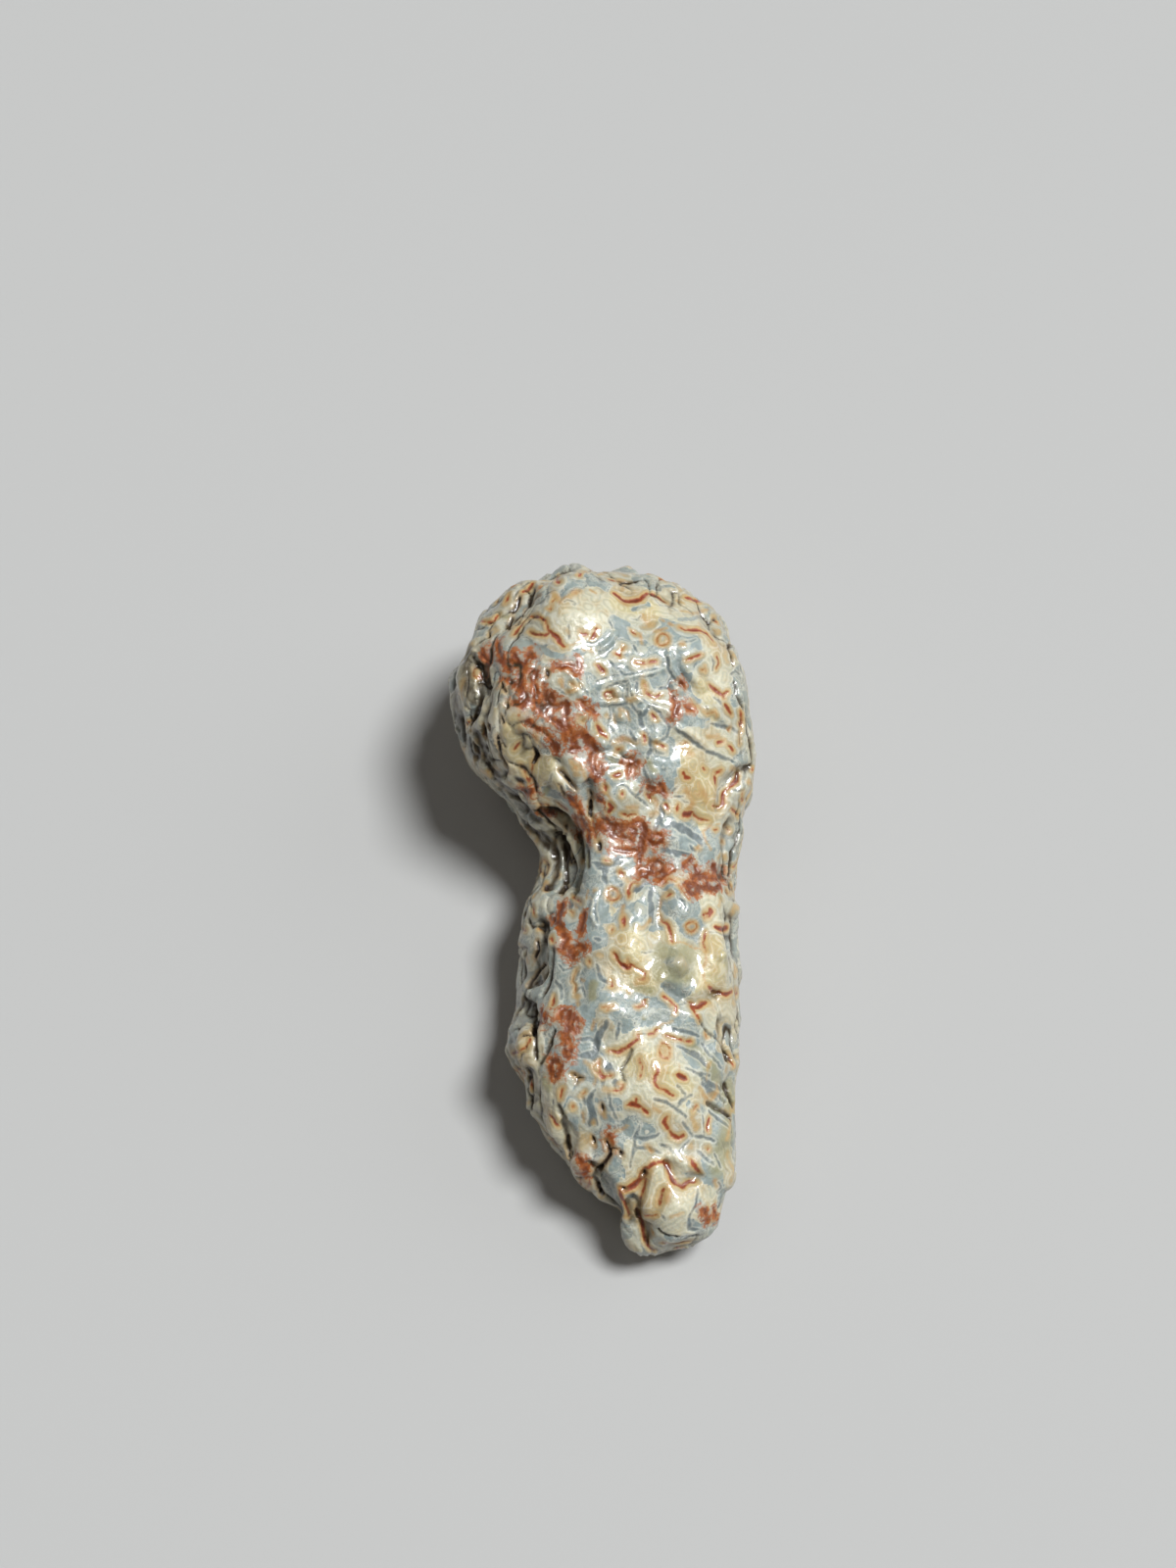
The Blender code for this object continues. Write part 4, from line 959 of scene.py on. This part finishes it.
# Its fine relief: islands that swell, lips round each crease, wrinkles along the flanks, pits, and the
# ridges and beads that catch the light.
LOBE_HEIGHT = 0.03
LIP_HEIGHT = 0.045
CREASE_DEPTH = 0.05
SHRED_DEPTH = 0.07
SLIT_DEPTH = 0.30
FOLD_DEPTH = 0.16
BLADE_DEPTH = 0.012
RIDGE_REACH = 1.5
RIDGE_STEEPNESS = 0.5
FINE_WRINKLE_WIDTH = 0.85
FINE_WRINKLE_RUN = 3.0
FINE_WRINKLE = 0.15
FINE_WRINKLE_SWAY = 0.35
POLISH_WIDTH = 4.0

wrinkle_size = np.array([FINE_WRINKLE_WIDTH, FINE_WRINKLE_WIDTH, FINE_WRINKLE_RUN])
stretched = (skin_points + FINE_WRINKLE_SWAY * sway) / wrinkle_size
fine_wrinkles = 1 - 2 * np.sqrt(abs(waves(stretched, seed=51)))
polish = step_up(-0.3, 0.5, waves(skin_points / POLISH_WIDTH, seed=53))
lips = step_up(-0.1, 0.45, band) * (1 - 0.85 * step_up(0.6, 1.15, band))
beads = tuple((half_width, (centre,)) for half_width, centre in BEADS)
ridge_lines, ridge_widths = traced_marks(GLEAMING_RIDGES + beads)
ridge_owner, distance, _ = Marks(ridge_lines, [0] * len(ridge_lines)).nearest(skin_points)
ridge_width = RIDGE_REACH * np.array(ridge_widths)[ridge_owner]
ridge = ridge_width * (1 - np.clip(distance / ridge_width, 0, 1) ** 2) ** 2
fine_height = (
    LOBE_HEIGHT * step_up(0.0, 0.3, border)
    + LIP_HEIGHT * (0.45 + 0.55 * polish + 0.5 * flank) * lips
    + RIDGE_STEEPNESS * ridge
    - CREASE_DEPTH * (1 - step_up(-0.06, 0.10, crease_gap))
    - SHRED_DEPTH * (1 - step_up(-0.12, 0.10, rust_gap))
    - SLIT_DEPTH * (1 - step_up(-0.12, 0.08, slit_gap))
    - BLADE_DEPTH * (1 - step_up(-0.05, 0.06, blade_gap))
    - FOLD_DEPTH * fold_stain_and_shade
    - FINE_WRINKLE * (0.1 + 0.9 * flank) * step_up(-0.2, 1.0, fine_wrinkles)
)
skin_points = skin_points + skin_normals * fine_height[:, None]
move_points(skin, skin_points)

# How far each point lies below the skin with its relief smoothed away, for the painted shade, partly real
# stain, that darkens the hollows.
softened = points_and_normals(remeshed(skin, "SMOOTH", factor=0.5, iterations=70))[0]
sunk = ((softened - skin_points) * skin_normals).sum(axis=1)
hollow_shade_and_stain = step_up(-0.02, 0.11, sunk)

# Laid down, its lowest lumps worn to the flat it rests on.
laying = np.array(Matrix.Rotation(LEAN - math.pi / 2, 3, "X"))
base = base_points @ laying.T
lowest, highest = base.min(axis=0), base.max(axis=0)
floor_level = lowest[2] + WORN_OFF + RIM_CUT
middle = (lowest + highest) / 2 * (1, 1, 0)
laid = skin_points @ laying.T
worn = RIM_ROUNDING * np.log1p(np.exp((laid[:, 2] - lowest[2] - WORN_OFF) / RIM_ROUNDING))
laid[:, 2] = np.maximum(worn - RIM_CUT, 0)
move_points(skin, laid - middle)
for name, values in (
    ("crease", crease_gap), ("band", band), ("blade", blade_gap), ("slit", slit_gap), ("tone", tone),
    ("rust", rust_gap), ("grey", grey), ("olive", olive), ("amber", amber), ("fold_stain_and_shade", fold_stain_and_shade),
    ("hollow_shade_and_stain", hollow_shade_and_stain), ("flank", flank), ("butter", butter),
):
    skin.attributes.new(name, "FLOAT", "POINT").data.foreach_set("value", values.astype(np.float32))

# The unseen sides are thinned out more than the face.
triangles = sum(len(face.vertices) - 2 for face in skin.polygons)
stone_mesh = remeshed(
    skin, "DECIMATE", weights=unseen > 0.5, ratio=min(1.0, MOST_TRIANGLES / triangles),
    use_collapse_triangulate=True, vertex_group_factor=1.0,
)
stone_mesh.transform(Matrix.Scale(MILLIMETRE, 4))
stone_mesh.shade_smooth()
stone = placed("agate", stone_mesh)

# Its colours, from the heart of an island outwards.
DEEP_RED = (0.13, 0.022, 0.008)
BRICK_RED = (0.32, 0.058, 0.02)
EARTH_BROWN = (0.35, 0.13, 0.04)
AMBER = (0.46, 0.225, 0.065)
HONEY = (0.50, 0.325, 0.12)
STRAW = (0.57, 0.46, 0.235)
CREAM = (0.605, 0.57, 0.41)
BUTTER = (0.63, 0.52, 0.24)
IVORY = (0.72, 0.705, 0.59)
GREY_BLUE = (0.19, 0.23, 0.235)
CLEAR_GREY = (0.29, 0.345, 0.33)
SLATE = (0.12, 0.145, 0.15)
OLIVE = (0.31, 0.29, 0.15)
RUST = (0.37, 0.102, 0.019)
RUST_WASH = (0.45, 0.21, 0.07)
DARK_RUST = (0.185, 0.040, 0.008)
ROSE_GREY = (0.40, 0.31, 0.235)
# The flank and fold browns are partly stain and partly painted shade; the pit brown is painted shade.
FLANK_SHADE_AND_STAIN = (0.34, 0.265, 0.15)
PIT_SHADE = (0.025, 0.010, 0.005)
SHADE_AND_STAIN_BROWN = (0.048, 0.032, 0.014)

# Growth lines are waves round each crease: radians to a millimetre.
GROWTH_LINES = 24.0

agate = bpy.data.materials.new("agate_skin")
agate.use_nodes = True
tree = agate.node_tree
shader = tree.nodes["Principled BSDF"]
stone_place = tree.nodes.new("ShaderNodeTexCoord").outputs["Object"]


def feed(socket, source):
    """Links a socket to another one or to a node's first output, or else sets its value."""
    if isinstance(source, bpy.types.Node):
        source = source.outputs[0]
    if isinstance(source, bpy.types.NodeSocket):
        tree.links.new(source, socket)
    else:
        socket.default_value = (*source, 1) if socket.type == "RGBA" else source


def wire(node, **inputs):
    """Feeds the named inputs of a node, spaces in their names written as underscores."""
    for name, source in inputs.items():
        feed(node.inputs[name.replace("_", " ")], source)
    return node


def attribute(name):
    """One of the skin's own values, named above."""
    node = tree.nodes.new("ShaderNodeAttribute")
    node.attribute_name = name
    return node.outputs["Fac"]


def math_node(operation, a, b=0.0):
    """A calculation with one or two sources."""
    node = tree.nodes.new("ShaderNodeMath")
    node.operation = operation
    feed(node.inputs[0], a)
    feed(node.inputs[1], b)
    return node


def times(a, b):
    """One source times another."""
    return math_node("MULTIPLY", a, b)


def between(source, low, high, result_low, result_high):
    """The source's stretch from low to high, mapped smoothly to the results and held there outside it."""
    node = tree.nodes.new("ShaderNodeMapRange")
    node.interpolation_type = "SMOOTHSTEP"
    return wire(node, Value=source, From_Min=low, From_Max=high, To_Min=result_low, To_Max=result_high)


def within(source, low, high, share=1.0):
    """The share below low, nothing above high."""
    return between(source, low, high, share, 0.0)


def above(source, low, high, share=1.0):
    """Nothing below low, the share above high."""
    return between(source, low, high, 0.0, share)


def blend(share, under, over):
    """One colour laid over another, by share."""
    node = tree.nodes.new("ShaderNodeMix")
    node.data_type = "RGBA"
    for index, source in ((0, share), (6, under), (7, over)):
        feed(node.inputs[index], source)
    return node.outputs[2]


def layered(under, *layers):
    """A colour with others laid over it in turn, each a share and a colour."""
    for share, over in layers:
        under = blend(share, under, over)
    return under


def grain(size, detail, offset):
    """Cloudy noise from 0 to 1 with a feature about every size millimetres."""
    node = tree.nodes.new("ShaderNodeTexNoise")
    node.noise_dimensions = "4D"
    scale = 1 / (size * MILLIMETRE)
    return wire(node, Vector=stone_place, W=offset, Scale=scale, Detail=detail, Roughness=0.55)


def strands(size, detail, offset):
    """0 along thin winding threads, more to either side."""
    return math_node("ABSOLUTE", math_node("SUBTRACT", grain(size, detail, offset), 0.5))


jitter = math_node("SUBTRACT", grain(0.32, 5.0, 1.0), 0.5)
clouds = grain(1.8, 5.0, 2.0)
streaks = grain(0.5, 5.0, 3.0)
wisps = strands(1.1, 4.0, 8.0)
threads = strands(0.55, 4.0, 7.0)


def ragged(name, raggedness):
    """An attribute with its edges roughened."""
    return math_node("ADD", attribute(name), times(jitter, raggedness))


crease_edge = ragged("crease", 0.20)
band_edge = ragged("band", 0.6)
blade_edge = ragged("blade", 0.2)
slit_edge = ragged("slit", 0.12)
rust_edge = ragged("rust", 0.72)
greyness = attribute("grey")
flankness = attribute("flank")

# Islands: straw or cream at heart, butter-yellow in places, honey in drifts, with faint growth lines and an
# ivory edge. Where they lie in grey stone, their hearts are honey and their edges less pale.
warmth = math_node("ADD", attribute("tone"), between(clouds, 0.3, 0.7, -0.45, 0.25))
growth = math_node("SINE", times(crease_edge, GROWTH_LINES))
island = layered(
    blend(above(warmth, 0.4, 1.1), CREAM, STRAW),
    (above(band_edge, 0.0, 0.55), CREAM),
    (times(attribute("butter"), 0.75), BUTTER),
    (above(streaks, 0.5, 0.72, 0.6), STRAW),
    (above(grain(0.9, 6.0, 4.0), 0.53, 0.68, 0.5), HONEY),
    (above(clouds, 0.48, 0.62, 0.5), HONEY),
    (times(within(band_edge, 0.0, 0.5, 0.75), above(greyness, 0.2, 0.7)), HONEY),
    (times(above(growth, 0.0, 1.0), between(crease_edge, 0.2, 1.1, 0.5, 0.1)), IVORY),
    (times(within(growth, -1.0, 0.0), between(crease_edge, 0.3, 1.0, 0.3, 0.1)), CLEAR_GREY),
    (times(above(band_edge, 0.5, 0.9, 0.85), between(greyness, 0.1, 0.8, 1.0, 0.45)), IVORY),
)

# Clear stone between them: bluer against their edges, with slate and pale streaks and wisps.
clear_stone = layered(
    CLEAR_GREY,
    (within(band_edge, 1.0, 1.35, 0.75), GREY_BLUE),
    (above(streaks, 0.5, 0.68, 0.7), SLATE),
    (within(streaks, 0.32, 0.44, 0.5), CREAM),
    (within(wisps, 0.02, 0.06, 0.7), IVORY),
    (within(wisps, 0.0, 0.02, 0.75), SLATE),
)

# Over both lie the grey and olive depths, the olive partly painted shade along the lower right edge, the
# amber stains, and on the flanks a thin brown veil that is partly stain and partly painted shade.
colour = layered(
    island,
    (above(band_edge, 0.92, 1.12), clear_stone),
    (times(greyness, 0.58), CLEAR_GREY),
    (times(attribute("olive"), 0.75), OLIVE),
    (times(attribute("amber"), 0.75), blend(above(streaks, 0.4, 0.65), HONEY, AMBER)),
    # The flank veil: painted shade on the flanks and back, partly brown stain, by a share that varies with
    # the clouds.
    (times(flankness, between(clouds, 0.35, 0.6, 0.45, 0.15)), FLANK_SHADE_AND_STAIN),
)

# Slate needles with a thin pale rim, fainter on the flanks.
needle_rim = times(above(blade_edge, -0.02, 0.05), within(blade_edge, 0.05, 0.15))
needle = times(within(blade_edge, -0.06, 0.07, 0.88), between(flankness, 0.0, 1.0, 1.0, 0.3))
colour = layered(
    colour,
    (times(needle_rim, 0.4), IVORY),
    (needle, blend(above(streaks, 0.45, 0.7), SLATE, GREY_BLUE)),
)

# Creases, red or brown by their tone, in a halo of amber and honey.
redness = above(attribute("tone"), 0.6, 0.78)
colour = layered(
    colour,
    (within(crease_edge, 0.04, 0.28, 0.7), HONEY),
    (within(crease_edge, -0.01, 0.10, 0.8), AMBER),
    (within(crease_edge, -0.02, 0.04, 0.95), blend(redness, EARTH_BROWN, BRICK_RED)),
    (times(within(crease_edge, -0.09, -0.02, 0.8), redness), DEEP_RED),
)

# Rust: ragged shreds, orange at the edge and dark within, in pale rosy grey.
colour = layered(
    colour,
    (within(rust_edge, 0.05, 0.5, 0.75), blend(above(streaks, 0.4, 0.6), ROSE_GREY, RUST_WASH)),
    (times(within(rust_edge, 0.2, 0.6), within(threads, 0.015, 0.05, 0.85)), RUST),
    (within(rust_edge, 0.0, 0.18, 0.95), blend(above(streaks, 0.42, 0.6), DARK_RUST, RUST)),
    (within(rust_edge, -0.14, 0.0, 0.85), DARK_RUST),
)

# Painted shade, partly real stain: an amber and olive stain round the slits, dark brown in the folds and
# hollows, deepest on the flanks, and near black in the open pits.
colour = layered(
    colour,
    (times(within(slit_edge, 0.02, 0.24), 0.6), blend(0.4, AMBER, OLIVE)),
    (times(attribute("fold_stain_and_shade"), between(streaks, 0.35, 0.65, 0.95, 0.55)), SHADE_AND_STAIN_BROWN),
    (times(attribute("hollow_shade_and_stain"), math_node("ADD", times(flankness, 0.95), 0.35)), SHADE_AND_STAIN_BROWN),
    (within(slit_edge, -0.06, 0.03), PIT_SHADE),
)

# A wind polish, glossy but not even, and duller on the rust. Light goes a little way into the stone.
fine_grain = math_node("ADD", grain(0.25, 4.0, 5.0), grain(0.7, 2.0, 6.0))
skin_bump = wire(
    tree.nodes.new("ShaderNodeBump"), Strength=0.8, Distance=0.07 * MILLIMETRE, Height=fine_grain,
)
wire(
    shader, Base_Color=colour, Normal=skin_bump, Roughness=between(streaks, 0.3, 0.7, 0.32, 0.46), IOR=1.54,
    Coat_Weight=between(rust_edge, 0.0, 0.5, 0.3, 0.65), Coat_Roughness=0.07,
    Subsurface_Weight=0.15, Subsurface_Scale=0.5 * MILLIMETRE, Subsurface_Radius=(1.0, 0.7, 0.4),
)
stone_mesh.materials.clear()
stone_mesh.materials.append(agate)

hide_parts("stone")
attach(stone, "root")


# The floor, the lights and the camera.
# A plain pale table under soft studio light. The main light is above the camera and to its right.

FLOOR_REACH = 8
FLOOR_COLOUR = (0.46, 0.46, 0.455, 1)
FLOOR_ROUGHNESS = 0.7
ROOM_LIGHT = (1.0, 0.96, 0.90, 1)
ROOM_STRENGTH = 0.065
SENSOR_WIDTH = 36.0
NEAREST_SEEN = 0.005

floor_mesh = bpy.data.meshes.new("floor")
floor_shape = bmesh.new()
bmesh.ops.create_grid(floor_shape, x_segments=1, y_segments=1, size=FLOOR_REACH)
floor_shape.to_mesh(floor_mesh)
floor_shape.free()
floor = placed("floor", floor_mesh)
pale = bpy.data.materials.new("pale_floor")
pale.use_nodes = True
pale_inputs = pale.node_tree.nodes["Principled BSDF"].inputs
pale_inputs["Base Color"].default_value = FLOOR_COLOUR
pale_inputs["Roughness"].default_value = FLOOR_ROUGHNESS
floor_mesh.materials.append(pale)


def world_place(point):
    """A place drawn in the standing frame, as it is once the stone lies down, in metres."""
    return Vector((laying @ np.array(point) - middle - np.array([0, 0, floor_level])) * MILLIMETRE)


def add_light(name, direction, width, strength, colour):
    """A far soft light in a direction of the standing frame. Its width is in degrees, seen from the stone."""
    lamp = bpy.data.lights.new(name, "SUN")
    lamp.angle = math.radians(width)
    lamp.energy = strength
    lamp.color = colour
    holder = placed(name, lamp)
    holder.rotation_euler = Vector(laying @ -np.array(direction)).to_track_quat("-Z", "Y").to_euler()


add_light("key", direction=(74, -150, 84), width=19, strength=3.65, colour=(0.97, 0.985, 0.99))
add_light("soft_side", direction=(150, -70, 90), width=40, strength=0.42, colour=(0.92, 0.96, 1.0))
add_light("fill", direction=(-90, -150, 90), width=40, strength=0.24, colour=(1.0, 0.98, 0.95))

world = bpy.data.worlds.new("studio")
bpy.context.scene.world = world
world.use_nodes = True
room_inputs = world.node_tree.nodes["Background"].inputs
room_inputs["Color"].default_value = ROOM_LIGHT
room_inputs["Strength"].default_value = ROOM_STRENGTH
bpy.context.scene.view_settings.view_transform = "Standard"

camera_data = bpy.data.cameras.new("camera")
camera_data.sensor_width = SENSOR_WIDTH
camera_data.lens = SENSOR_WIDTH * EYE_DISTANCE / SEEN_HEIGHT
camera_data.clip_start = NEAREST_SEEN
camera = placed("camera", camera_data)
camera.location = world_place(EYE)
camera.rotation_euler = (LEAN, 0, 0)
bpy.context.scene.camera = camera
